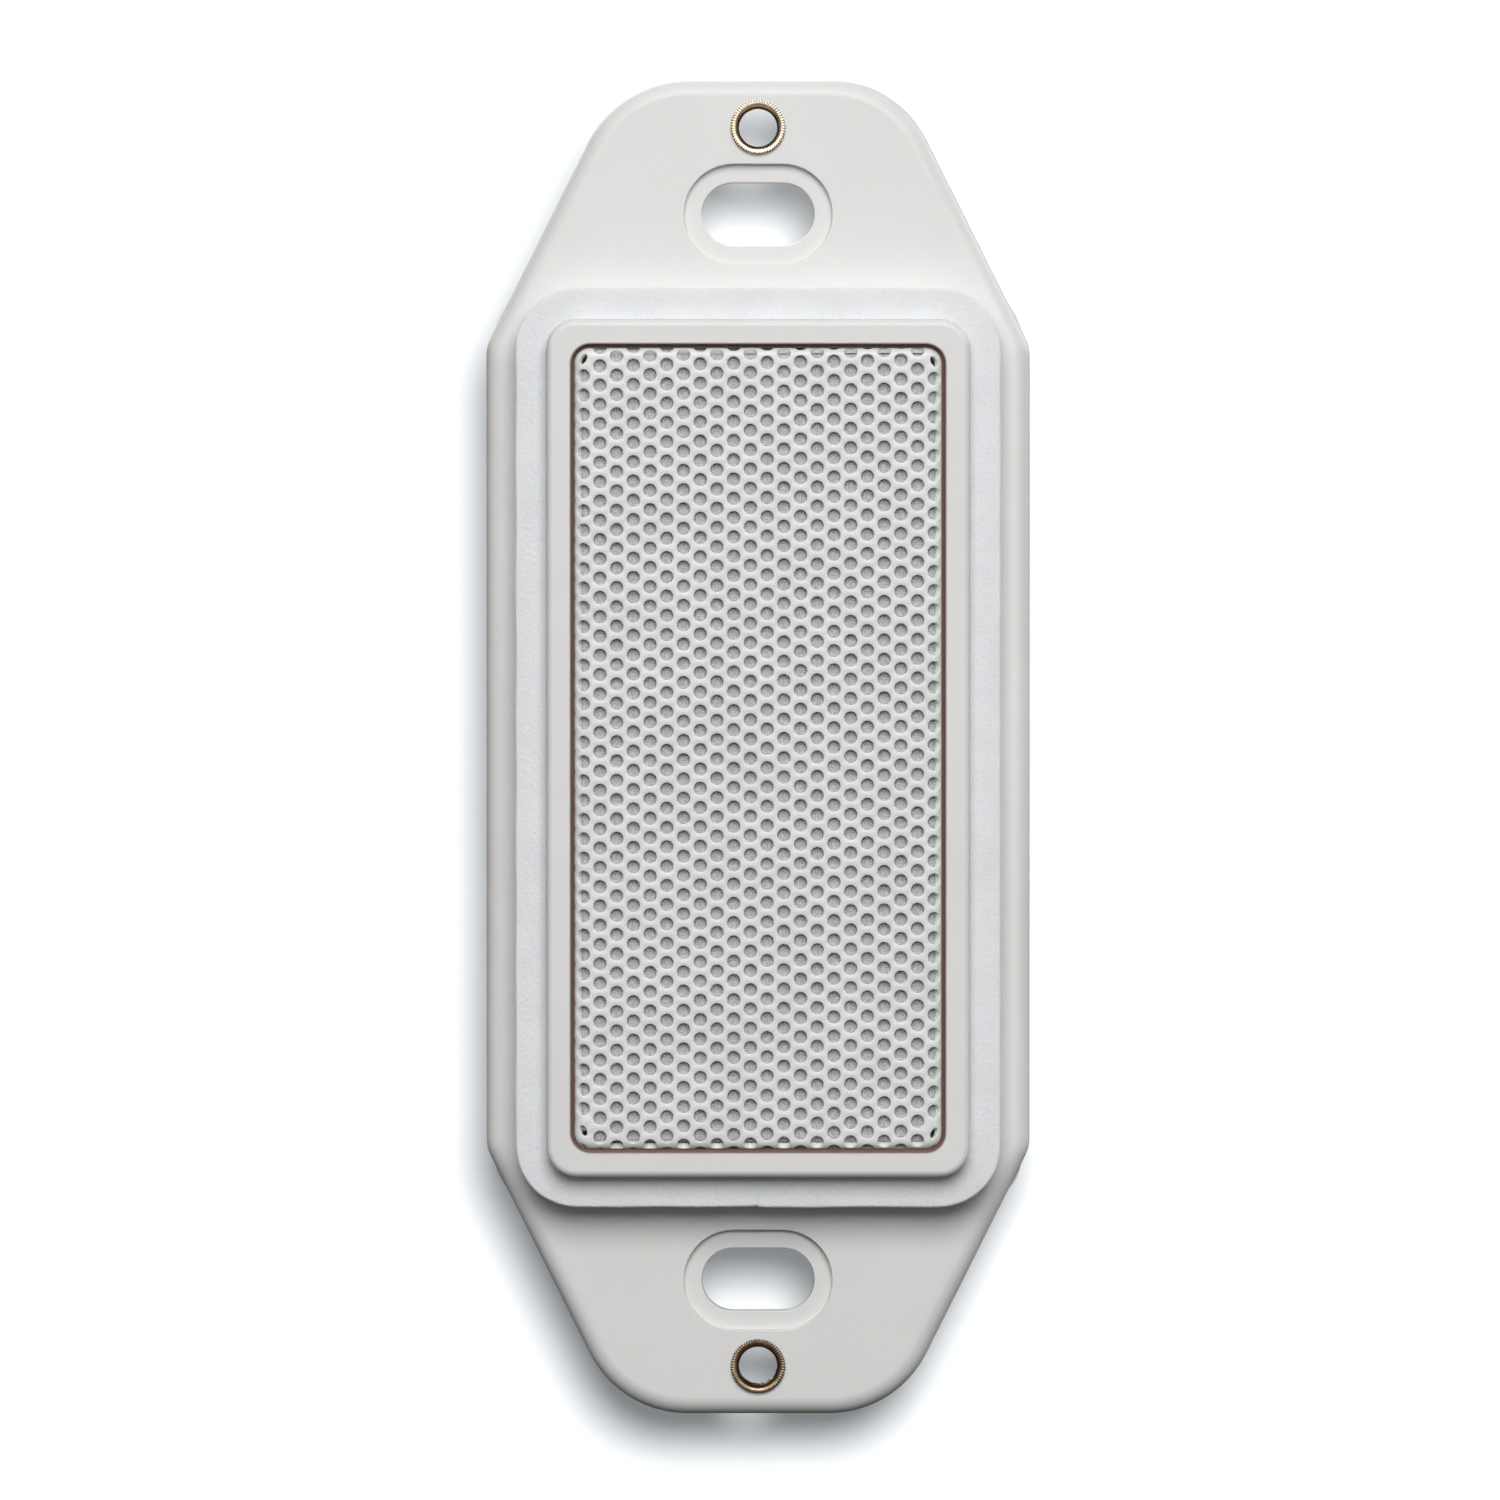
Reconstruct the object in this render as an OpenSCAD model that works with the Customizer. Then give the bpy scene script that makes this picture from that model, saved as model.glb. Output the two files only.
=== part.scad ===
// Flush wall speaker insert for a decorator wall plate.
// It stands upright as it is used: X to the right, Z up, and the grille faces -Y.
// The origin is at the middle of the strap's back, halfway between the two plate-screw inserts.

/* [Strap] */
// Width of the strap
strap_w = 42.5; // [42:0.1:43.5]
// Height of the strap
strap_h = 104.4; // [103.4:0.1:106]
// Thickness of the strap
strap_t = 3; // [2.8:0.1:3.4]
// Height of the straight part of the strap's sides
strap_side_h = 62.7; // [61:0.1:64]
// How far the slanted sides come in for each millimetre up
strap_slant = 0.5; // [0.46:0.01:0.54]
// Radius where a slanted side meets the flat end
strap_end_r = 8.5; // [6:0.5:9]
// Radius where a slanted side meets the straight side
strap_side_r = 3; // [1:0.5:6]

/* [Screw places] */
// Distance between the two plate screws
plate_screw_spacing = 96.84; // [96:0.02:97.6]
// Distance between the two device box screws
box_screw_spacing = 83.34; // [82.6:0.02:84]
// Length of a box screw slot
slot_len = 8.8; // [7:0.1:9.4]
// Width of a box screw slot
slot_w = 4.9; // [4.4:0.1:5.2]
// Length of the recess round a slot
slot_recess_len = 11.6; // [10.6:0.1:12.2]
// Width of the recess round a slot
slot_recess_w = 7.8; // [6.8:0.1:8.2]
// Depth of the recess round a slot
slot_recess_depth = 0.7; // [0.3:0.1:1]
// Bore of a brass insert
insert_bore = 3; // [2.8:0.05:3.2]
// Diameter over the knurl of a brass insert
insert_d = 4.3; // [4.1:0.1:4.6]

/* [Bezel and gasket] */
// Width of the raised bezel
bezel_w = 32.9; // [32.6:0.1:33.1]
// Height of the raised bezel
bezel_h = 66.7; // [66.4:0.1:66.9]
// Corner radius of the bezel
bezel_r = 2.3; // [1.5:0.1:3]
// How far the bezel stands in front of the strap
bezel_rise = 5.5; // [5:0.1:6]
// Depth of the window that holds the grille
window_depth = 2.3; // [2.2:0.1:2.6]
// Width of the foam gasket
gasket_w = 37.9; // [36.5:0.1:39]
// Height of the foam gasket
gasket_h = 71.3; // [70:0.1:72.5]
// Thickness of the foam gasket
gasket_t = 3.5; // [3:0.1:4]
// Corner radius of the foam gasket
gasket_r = 4; // [3:0.5:5]

/* [Grille] */
// Width of the grille
grille_w = 28.75; // [28.5:0.05:28.8]
// Height of the grille
grille_h = 62.5; // [62.2:0.05:62.55]
// Thickness of the grille's sheet
sheet_t = 0.5; // [0.4:0.05:0.6]
// Diameter of a grille hole
hole_d = 1; // [0.8:0.05:1.1]
// Distance between holes in a column
hole_pitch = 1.5; // [1.4:0.05:1.7]
// Distance between columns of holes
column_pitch = 1.3; // [1.29:0.005:1.31]
// Columns of holes
hole_columns = 22; // [10:2:22]
// Holes in a column
hole_rows = 41; // [21:2:41]

/* [Drivers] */
// Distance between the two drivers' centres
driver_spacing = 34; // [33:0.1:34.4]
// Outer diameter of a driver
driver_d = 30; // [29.6:0.1:30.2]
// Diameter of the opening in front of a driver
aperture_d = 27.8; // [27:0.1:28]

/* [Rear cover] */
// Width of the rear cover
cover_w = 41; // [40.6:0.1:41.4]
// Height of the rear cover
cover_h = 71; // [70.6:0.1:71.6]
// Thickness of the rear cover's walls
cover_wall = 2; // [1.8:0.1:2.2]
// Distance from the strap's back to the outside of the rear cover
cover_back = 17.3; // [17:0.1:18]

/* [Hidden] */
$fn = 64;

// Slack that lets a part drop into its place
ease = 0.1;
// How far a cutting shape runs past the surface that it opens
past = 1;

// Depths, from the strap's back at 0: negative is towards the room
strap_front = -strap_t;
bezel_front = strap_front - bezel_rise;
gasket_front = strap_front - gasket_t;
baffle_front = bezel_front + window_depth;
driver_seat = -1.9;
grille_gap = 0.15;
window_w = grille_w + 2 * grille_gap;
window_h = grille_h + 2 * grille_gap;
window_r = 1.5;

grille_r = 1.3;
grille_sunk = 0.2;
grille_front = bezel_front + grille_sunk;
grille_back = grille_front + sheet_t;
scrim_t = 0.25;
// The hole pattern sits a little off the middle, and its rows rise a little to the right
hole_origin = [0.05, 0.36];
row_tilt = 0.02;
edge_land = 0.1;

insert_proud = 0.35;
knurl_teeth = 52;
knurl_depth = 0.1;

// The seat that the rear cover stands on, and the rails that centre it
seat_w = cover_w + 0.3;
seat_h = cover_h + 0.3;
seat_rise = 0.6;
cover_r = 3.5;
rail_len = 40;
rail_w = 1.1;
rail_rise = 2.6;
cover_gasket_t = 0.6;
cover_front = seat_rise + cover_gasket_t;
cover_inner_w = cover_w - 2 * cover_wall;
cover_inner_h = cover_h - 2 * cover_wall;
cover_inside = cover_back - cover_wall;

// Cover screws: bosses on the frame, wells in the cover
cover_screw_x = 16.3;
cover_screw_z = 31.6;
boss_r = 2.8;
boss_rise = 3;
well_r = 2.4;
well_wall = 0.9;
well_floor = 5;
cover_screw_r = 1.1;
cover_screw_head_r = 2;
cover_screw_head_t = 1.5;
cover_screw_tip = -2;

// Driver screws: four round each driver, with heads that clamp its rim
driver_z = driver_spacing / 2;
driver_screw_circle = driver_d / 2 + 1.35;
// A screw's shank is thinner than its pilot hole by this much all round
thread_ease = 0.03;
driver_screw_r = 0.85;
driver_screw_head_r = 2.1;
driver_screw_head_t = 1.2;
driver_screw_tip = -4.4;

// One driver, turned about its own axis: radii, and depths behind the front of its rim
rim_t = 1;
rim_front = -rim_t;
surround_t = 0.3;
basket_depth = 4.7;
basket_wall = 0.8;
basket_floor_t = 0.8;
basket_floor_hole_r = 6.2;
top_plate_t = 1.5;
top_plate_r = 8.5;
top_plate_hole_r = 5.95;
magnet_t = 4.2;
magnet_r = 10;
magnet_hole_r = 6.6;
yoke_t = 2;
pole_r = 4.9;
former_r = 5.1;
former_t = 0.15;
winding_r = 5.6;
cone_r = 10.6;
cone_neck_r = 5.5;
cone_t = 0.35;
cone_lip = 0.5;
cone_neck = 2.8;
roll_inner_r = cone_r + 0.15;
roll_outer_r = 13.2;
dome_rise = 1.6;
driver_back = basket_depth + top_plate_t + magnet_t + yoke_t - rim_t;
basket_back = rim_front + basket_depth;

// Fibre board on a basket's back, and the two solder tabs on it
fibre_span = 7;
fibre_t = 0.9;
fibre_inner_x = top_plate_r + 0.4;
tab_x = top_plate_r + 2.2;
tab_z = 2.4;
tab_w = 1.6;
tab_t = 0.4;
tab_rise = 3;

// Connection board, behind the magnets
board_w = 29;
board_h = 16;
board_t = 1.6;
board_front = driver_back + 0.5;
board_back = board_front + board_t;
board_screw_x = 11.5;
board_screw_r = 0.8;
board_screw_head_r = 1.7;
board_screw_head_t = 1.1;
// Plastic left between a board screw's pilot hole and the cover's back
post_skin = 0.9;
capacitor_r = 3.5;
capacitor_len = 11;
capacitor_gap = 0.4;
capacitor_y = board_front - capacitor_gap - capacitor_r;

// Terminal block: two poles side by side, wires from below, screws from behind
pole_pitch = 5.08;
block_w = 11.4;
block_low = -3.4;
block_high = 4;
chamber_w = 4.5;
chamber_h = 4.3;
clamp_w = 4.2;
clamp_depth = 3.4;
clamp_wall = 0.45;
clamp_travel = 1.875;
wire_gap = 2.6;
contact_t = 0.6;
contact_half_w = 1.5;
contact_ease = 0.05;
// The round pin that each contact puts through the board
pin_r = 0.5;
pin_z = 3;
// A slip fit between parts that slide or turn in each other
slip = 0.02;
clamp_floor_t = 0.6;
clamp_top_t = 0.9;
clamp_bottom = board_back + 3.6;
contact_y = clamp_bottom + clamp_floor_t + wire_gap;
screw_tip_y = contact_y + contact_t + 0.05;
clamp_top = screw_tip_y + 0.05;
clamp_back = clamp_top + clamp_top_t;
screw_head_y = clamp_back + clamp_travel + 0.1;
screw_head_t = 1.35;
screw_head_r = 1.85;
screw_r = 1.45;
block_back = screw_head_y + screw_head_t + 0.4;

// Where a lead leaves its solder tab and where it ends on the board, and the bends between them
lead_r = 0.55;
lead_routes = [
  [
    [11.5, 7.7, 14.6], [11.6, 8.8, 14.2], [12.2, 9.9, 12],
    [12.6, 10.2, 9], [12.6, 10.9, 7], [12.6, 11.85, 6.8]
  ],
  [
    [11.5, 7.7, 19.4], [11.8, 8.8, 19.2], [13.6, 9.9, 17.5],
    [14.8, 10.2, 14], [15, 10.3, 9], [13.7, 10.9, 5.2], [13.4, 11.85, 5]
  ]
];

// ---- Helpers -------------------------------------------------------------------------------

// Extrudes a flat shape, drawn with X to the right and Z up, from y0 to y1
module along_y(y0, y1) {
  translate([0, y1, 0]) rotate([90, 0, 0]) linear_extrude(y1 - y0) children();
}

// Turns a profile, drawn as radius and depth, about the Y axis
module turned_y() {
  rotate([-90, 0, 0]) rotate_extrude() children();
}

// A round bar along Y
module bar_y(r, y0, y1) {
  translate([0, y0, 0]) rotate([-90, 0, 0]) cylinder(r = r, h = y1 - y0);
}

// A box from one corner to the other
module box_between(low, high) {
  translate(low) cube(high - low);
}

module rounded_rect(w, h, r) {
  square([w - 2 * r, h], center = true);
  square([w, h - 2 * r], center = true);
  for (x = [-1, 1], z = [-1, 1])
    translate([x * (w / 2 - r), z * (h / 2 - r)]) circle(r = r);
}

module obround(len, w) {
  square([len - w, w], center = true);
  for (x = [-1, 1]) translate([x * (len - w) / 2, 0]) circle(d = w);
}

// A ring outline between two rounded rectangles
module rounded_ring(w, h, r, wall) {
  difference() {
    rounded_rect(w, h, r);
    rounded_rect(w - 2 * wall, h - 2 * wall, max(r - wall, 0.2));
  }
}

// Places children at the two ends of the strap, a distance apart along Z
module both_ends(spacing) {
  for (side = [-1, 1]) translate([0, 0, side * spacing / 2]) children();
}

module four_corners(x, z) {
  for (i = [-1, 1], j = [-1, 1]) translate([i * x, 0, j * z]) children();
}

// Places children at a driver's centre: side is 1 for the upper one and -1 for the lower one
module at_driver(side) {
  translate([0, 0, side * driver_z]) children();
}

// Places children at the four screws of each driver
module at_driver_screws() {
  for (side = [-1, 1], turn = [45:90:315])
    at_driver(side) rotate([0, turn, 0]) translate([driver_screw_circle, 0, 0]) children();
}

// ---- Strap outline -------------------------------------------------------------------------

// The strap's eight corners, each with its radius, for an outline drawn in by inset
function strap_corners(inset) =
  let (
    half_w = strap_w / 2 - inset,
    half_h = strap_h / 2 - inset,
    slant_line = strap_w / 2 + strap_slant * strap_side_h / 2 - inset * norm([1, strap_slant]),
    side_z = (slant_line - half_w) / strap_slant,
    end_x = slant_line - strap_slant * half_h,
    side_r = max(strap_side_r - inset, 0.5),
    end_r = max(strap_end_r - inset, 0.5)
  ) [
    [half_w, -side_z, side_r], [half_w, side_z, side_r],
    [end_x, half_h, end_r], [-end_x, half_h, end_r],
    [-half_w, side_z, side_r], [-half_w, -side_z, side_r],
    [-end_x, -half_h, end_r], [end_x, -half_h, end_r]
  ];

function flat_part(corner) = [corner[0], corner[1]];
function unit(v) = v / norm(v);

// The two unit vectors from a corner along its sides, and half the angle between them
function corner_sides(before, at, after) =
  let (
    back = unit(flat_part(before) - flat_part(at)),
    ahead = unit(flat_part(after) - flat_part(at))
  ) [back, ahead, acos(back * ahead) / 2];

module rounded_polygon(corners) {
  n = len(corners);
  sides = [for (i = [0:n - 1]) corner_sides(corners[(i + n - 1) % n], corners[i], corners[(i + 1) % n])];
  polygon([
    for (i = [0:n - 1]) each [
      flat_part(corners[i]) + sides[i][0] * corners[i][2] / tan(sides[i][2]),
      flat_part(corners[i]) + sides[i][1] * corners[i][2] / tan(sides[i][2])
    ]
  ]);
  for (i = [0:n - 1])
    translate(flat_part(corners[i]) + unit(sides[i][0] + sides[i][1]) * corners[i][2] / sin(sides[i][2]))
      circle(r = corners[i][2]);
}

module strap_outline(inset = 0) {
  rounded_polygon(strap_corners(inset));
}

// ---- Frame, inserts, gasket, grille ----------------------------------------------------------

// Shallow hollows in the strap's back, which leave a rim, rings round the holes and a middle rib
module ear_hollows() {
  hollow_depth = 1.2;
  rim = 2.4;
  ring_wall = 2;
  rib_w = 1.6;
  along_y(-hollow_depth, past) difference() {
    strap_outline(rim);
    square([strap_w, seat_h + 2 * rim], center = true);
    for (side = [-1, 1]) {
      translate([0, side * box_screw_spacing / 2])
        obround(slot_len + 2 * ring_wall, slot_w + 2 * ring_wall);
      translate([0, side * plate_screw_spacing / 2]) circle(d = insert_d + 2 * ring_wall);
    }
    square([rib_w, strap_h], center = true);
  }
}

module mounting_frame() color([0.85, 0.84, 0.81]) difference() {
  union() {
    along_y(strap_front, 0) strap_outline();
    along_y(bezel_front, 0) rounded_rect(bezel_w, bezel_h, bezel_r);
    along_y(-past, seat_rise) rounded_rect(seat_w, seat_h, cover_r);
    for (side = [-1, 1])
      translate([side * (cover_inner_w / 2 - ease - rail_w / 2), rail_rise / 2, 0])
        cube([rail_w, rail_rise, rail_len], center = true);
    four_corners(cover_screw_x, cover_screw_z) bar_y(boss_r, -past, boss_rise);
  }
  along_y(bezel_front - past, baffle_front) rounded_rect(window_w, window_h, window_r);
  both_ends(box_screw_spacing) {
    along_y(strap_front - past, past) obround(slot_len, slot_w);
    along_y(strap_front - past, strap_front + slot_recess_depth) obround(slot_recess_len, slot_recess_w);
  }
  both_ends(plate_screw_spacing) bar_y(insert_d / 2 - knurl_depth / 2, strap_front - past, past);
  for (side = [-1, 1]) at_driver(side) {
    bar_y(aperture_d / 2, bezel_front, past);
    bar_y(driver_d / 2 + ease, driver_seat, past);
  }
  at_driver_screws() bar_y(driver_screw_r, driver_screw_tip - ease, past);
  // Flats for the screw heads, level with the drivers' rims
  at_driver_screws() bar_y(driver_screw_head_r + ease, 0, past);
  four_corners(cover_screw_x, cover_screw_z) bar_y(cover_screw_r, cover_screw_tip - ease, boss_rise + past);
  ear_hollows();
}

// The knurled outline of an insert: teeth at even angles
module knurled_circle(d, teeth, depth) {
  polygon([
    for (i = [0:2 * teeth - 1])
      (d / 2 - (i % 2) * depth) * [cos(180 * i / teeth), sin(180 * i / teeth)]
  ]);
}

module plate_screw_inserts() color([0.78, 0.66, 0.42]) both_ends(plate_screw_spacing) {
  bevel = 0.3;
  root_r = insert_d / 2 - knurl_depth;
  rim_front = strap_front - insert_proud;
  difference() {
    union() {
      along_y(rim_front + bevel, 0) knurled_circle(insert_d, knurl_teeth, knurl_depth);
      turned_y() polygon([
        [0, rim_front], [root_r - bevel, rim_front], [root_r - ease, rim_front + bevel],
        [root_r - ease, rim_front + 2 * bevel], [0, rim_front + 2 * bevel]
      ]);
    }
    bar_y(insert_bore / 2, strap_front - past, past);
    turned_y() polygon([
      [0, rim_front - past], [insert_bore / 2 + bevel + past, rim_front - past],
      [insert_bore / 2 - ease, rim_front + bevel + ease], [0, rim_front + bevel + ease]
    ]);
  }
}

// Foam strip bent round the bezel, with a butt joint at the bottom
module wall_plate_gasket() color([0.86, 0.87, 0.88]) {
  butt_gap = 0.12;
  along_y(gasket_front, strap_front) difference() {
    rounded_rect(gasket_w, gasket_h, gasket_r);
    rounded_rect(bezel_w + ease, bezel_h + ease, bezel_r);
    translate([-butt_gap / 2, -gasket_h / 2 - past]) square([butt_gap, gasket_h / 2]);
  }
}

// How far a place is from the grille's edge, along the shortest line
function edge_distance(place) =
  grille_r - norm([
    max(0, abs(place[0]) - (grille_w / 2 - grille_r)),
    max(0, abs(place[1]) - (grille_h / 2 - grille_r))
  ]);

// Centres of the grille's holes that are clear of its edge: every other column is half a pitch lower
function hole_places() = [
  for (column = [0:hole_columns - 1], row = [0:hole_rows - 1])
    let (
      x = (column - (hole_columns - 1) / 2) * column_pitch,
      z = (row - (hole_rows - 1) / 2) * hole_pitch + x * row_tilt,
      half_step = (column % 2 == 0 ? 1 : -1) * hole_pitch / 4,
      place = hole_origin + [x, z + half_step]
    )
    if (edge_distance(place) > hole_d / 2 + edge_land) place
];

// Perforated sheet, formed into a shallow tray
module grille() color([0.84, 0.85, 0.83]) {
  along_y(grille_front, grille_back) difference() {
    rounded_rect(grille_w, grille_h, grille_r);
    for (place = hole_places()) translate(place) circle(d = hole_d, $fn = 24);
  }
  along_y(grille_back, baffle_front) rounded_ring(grille_w, grille_h, grille_r, sheet_t);
}

// Cloth stretched over the inside of the grille
module grille_scrim() color([0.72, 0.73, 0.72])
  along_y(grille_back, grille_back + scrim_t)
    rounded_rect(
      grille_w - 2 * (sheet_t + ease), grille_h - 2 * (sheet_t + ease), grille_r - sheet_t - ease);

// ---- Drivers ---------------------------------------------------------------------------------

module driver_gasket(side) color([0.2, 0.2, 0.2]) at_driver(side) difference() {
  bar_y(driver_d / 2, driver_seat, rim_front - surround_t);
  bar_y(aperture_d / 2, driver_seat - past, rim_front);
}

// Rubber half roll between the basket's rim and the cone
module surround(side) color([0.13, 0.13, 0.14]) at_driver(side) turned_y() {
  roll_r = (roll_outer_r - roll_inner_r) / 2;
  roll_mid = (roll_outer_r + roll_inner_r) / 2;
  translate([roll_outer_r - surround_t, rim_front - surround_t])
    square([driver_d / 2 - roll_outer_r + surround_t, surround_t]);
  intersection() {
    difference() {
      translate([roll_mid, rim_front]) circle(r = roll_r);
      translate([roll_mid, rim_front]) circle(r = roll_r - surround_t);
    }
    translate([roll_inner_r, rim_front - roll_r]) square([2 * roll_r, roll_r]);
  }
}

// Pressed steel basket with six windows
module basket(side) color([0.25, 0.26, 0.28]) at_driver(side) difference() {
  rim_r = driver_d / 2;
  wall_r = roll_outer_r + basket_wall;
  window_width = 5;
  turned_y() polygon([
    [roll_outer_r, rim_front], [rim_r, rim_front], [rim_r, 0], [wall_r, 0],
    [wall_r, rim_front + basket_depth], [basket_floor_hole_r, rim_front + basket_depth],
    [basket_floor_hole_r, rim_front + basket_depth - basket_floor_t],
    [roll_outer_r, rim_front + basket_depth - basket_floor_t]
  ]);
  for (turn = [30:60:330])
    rotate([0, turn, 0])
      box_between(
        [top_plate_r + 0.5, rim_front + basket_depth - basket_floor_t - past, -window_width / 2],
        [roll_outer_r - 0.6, rim_front + basket_depth + past, window_width / 2]);
}

module top_plate(side) color([0.7, 0.71, 0.72]) at_driver(side) difference() {
  y0 = rim_front + basket_depth;
  bar_y(top_plate_r, y0, y0 + top_plate_t);
  bar_y(top_plate_hole_r, y0 - past, y0 + top_plate_t + past);
}

module magnet(side) color([0.2, 0.2, 0.21]) at_driver(side) difference() {
  y0 = rim_front + basket_depth + top_plate_t;
  bar_y(magnet_r, y0, y0 + magnet_t);
  bar_y(magnet_hole_r, y0 - past, y0 + magnet_t + past);
}

// Back plate and pole piece in one, with a sunk centre mark in the back
module yoke(side) color([0.7, 0.71, 0.72]) at_driver(side) {
  y0 = rim_front + basket_depth + top_plate_t + magnet_t;
  dimple_r = 1.5;
  dimple_depth = 0.5;
  difference() {
    union() {
      bar_y(top_plate_r, y0, y0 + yoke_t);
      bar_y(pole_r, rim_front + basket_depth, y0 + yoke_t);
    }
    bar_y(dimple_r, y0 + yoke_t - dimple_depth, y0 + yoke_t + past);
  }
}

// Fibre board on the back of the basket that carries the two tabs
module terminal_board(side) color([0.62, 0.45, 0.28]) at_driver(side)
  box_between(
    [fibre_inner_x, basket_back, -fibre_span / 2],
    [roll_outer_r + basket_wall - ease, basket_back + fibre_t, fibre_span / 2]);

module solder_tabs(side) color([0.8, 0.8, 0.78]) at_driver(side)
  for (place = [-tab_z, tab_z])
    box_between(
      [tab_x, basket_back + fibre_t, place - tab_t / 2],
      [tab_x + tab_w, basket_back + fibre_t + tab_rise, place + tab_t / 2]);

module cone(side) color([0.85, 0.85, 0.84]) at_driver(side) turned_y() polygon([
  [cone_neck_r, rim_front + cone_neck], [cone_r - cone_lip, rim_front + 0.2], [cone_r, rim_front],
  [cone_r, rim_front + cone_t], [cone_r - cone_lip, rim_front + cone_t + 0.2],
  [cone_neck_r, rim_front + cone_neck + cone_t]
]);

// Domed cap over the neck of the cone
module dust_cap(side) color([0.8, 0.8, 0.79]) at_driver(side) {
  sphere_r = (cone_neck_r * cone_neck_r + dome_rise * dome_rise) / (2 * dome_rise);
  front = rim_front + cone_neck - dome_rise;
  turned_y() intersection() {
    difference() {
      translate([0, front + sphere_r]) circle(r = sphere_r);
      translate([0, front + sphere_r]) circle(r = sphere_r - cone_t);
    }
    translate([0, front]) square([cone_neck_r, dome_rise]);
  }
}

// Paper former with its copper winding, which sits in the gap between pole and top plate
module voice_coil(side) color([0.72, 0.42, 0.22]) at_driver(side) difference() {
  front = rim_front + cone_neck;
  winding_len = 2.6;
  winding_mid = rim_front + basket_depth + top_plate_t / 2;
  union() {
    bar_y(former_r + former_t, front, winding_mid + winding_len / 2);
    bar_y(winding_r, winding_mid - winding_len / 2, winding_mid + winding_len / 2);
  }
  bar_y(former_r, front - past, rim_front + basket_depth + top_plate_t + magnet_t);
}

// Pan-head screws whose heads clamp the drivers' rims
module driver_screws() color([0.75, 0.75, 0.76]) at_driver_screws()
  pan_screw(driver_screw_r - thread_ease, driver_screw_tip, 0, driver_screw_head_r, driver_screw_head_t);

// A screw along Y whose head has a domed edge and a cross slot: the tip is at y0 and the head sits at y1
module pan_screw(r, y0, y1, head_r, head_t) difference() {
  cross_w = 0.5;
  cross_depth = 0.7;
  union() {
    bar_y(r, y0, y1 + head_t / 2);
    turned_y() polygon([
      [0, y1], [head_r, y1], [head_r, y1 + head_t * 0.55], [head_r * 0.82, y1 + head_t * 0.9],
      [head_r * 0.55, y1 + head_t], [0, y1 + head_t]
    ]);
  }
  for (turn = [0, 90])
    rotate([0, turn, 0])
      box_between(
        [-head_r * 0.62, y1 + head_t - cross_depth, -cross_w / 2],
        [head_r * 0.62, y1 + head_t + past, cross_w / 2]);
}

// ---- Rear cover ------------------------------------------------------------------------------

module cover_gasket() color([0.25, 0.25, 0.26]) difference() {
  along_y(seat_rise, cover_front) rounded_ring(cover_w, cover_h, cover_r, cover_wall);
  four_corners(cover_screw_x, cover_screw_z) bar_y(boss_r + ease, 0, cover_front + past);
}

// Back box with four screw wells, a window for the terminal block and two posts for the board
module rear_cover() color([0.83, 0.82, 0.8]) difference() {
  window_ease = 0.15;
  panel_depth = 0.5;
  panel_w = 25;
  panel_h = 52;
  panel_r = 2;
  mark_len = 2.6;
  mark_w = 0.6;
  post_r = 2.3;
  mark_x = block_w / 2 + 3.2;
  union() {
    difference() {
      along_y(cover_front, cover_back) rounded_rect(cover_w, cover_h, cover_r);
      along_y(cover_front - past, cover_inside)
        rounded_rect(cover_inner_w, cover_inner_h, cover_r - cover_wall);
    }
    intersection() {
      four_corners(cover_screw_x, cover_screw_z) bar_y(well_r + well_wall, boss_rise, cover_back);
      along_y(0, cover_back) rounded_rect(cover_w, cover_h, cover_r);
    }
    for (side = [-1, 1])
      translate([side * board_screw_x, 0, 0]) bar_y(post_r, board_back, cover_inside + past / 2);
  }
  // Sunk panel on the back, drawn round a plus and a minus mark beside the poles
  along_y(cover_back - panel_depth, cover_back + past) difference() {
    rounded_rect(panel_w, panel_h, panel_r);
    for (side = [-1, 1]) translate([side * mark_x, 0]) {
      square([mark_len, mark_w], center = true);
      if (side > 0) square([mark_w, mark_len], center = true);
    }
  }
  four_corners(cover_screw_x, cover_screw_z) {
    bar_y(well_r, well_floor, cover_back + past);
    bar_y(cover_screw_r + 2 * ease, boss_rise - past, well_floor + past);
  }
  // Room for the frame's bosses
  four_corners(cover_screw_x, cover_screw_z) bar_y(boss_r + ease, cover_front - past, boss_rise);
  box_between(
    [-block_w / 2 - window_ease, cover_inside - past, block_low - window_ease],
    [block_w / 2 + window_ease, cover_back + past, block_high + window_ease]);
  for (side = [-1, 1])
    translate([side * board_screw_x, 0, 0]) bar_y(board_screw_r, board_back - past, cover_back - post_skin);
}

module cover_screws() color([0.75, 0.75, 0.76]) four_corners(cover_screw_x, cover_screw_z)
  pan_screw(cover_screw_r - thread_ease, cover_screw_tip, well_floor, cover_screw_head_r, cover_screw_head_t);

// ---- Connection board ------------------------------------------------------------------------

module connection_board() color([0.16, 0.38, 0.25]) difference() {
  corner_r = 1;
  along_y(board_front, board_back) rounded_rect(board_w, board_h, corner_r);
  for (side = [-1, 1]) {
    translate([side * board_screw_x, 0, 0])
      bar_y(board_screw_r + 2 * ease, board_front - past, board_back + past);
    translate([side * pole_pitch / 2, 0, pin_z]) bar_y(pin_r + ease, board_front - past, board_back + past);
  }
}

module board_screws() color([0.75, 0.75, 0.76])
  for (side = [-1, 1]) translate([side * board_screw_x, 0, 0]) mirror([0, 1, 0])
    pan_screw(
      board_screw_r - thread_ease, -(cover_back - post_skin - 3 * ease), -board_front,
      board_screw_head_r, board_screw_head_t);

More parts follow.
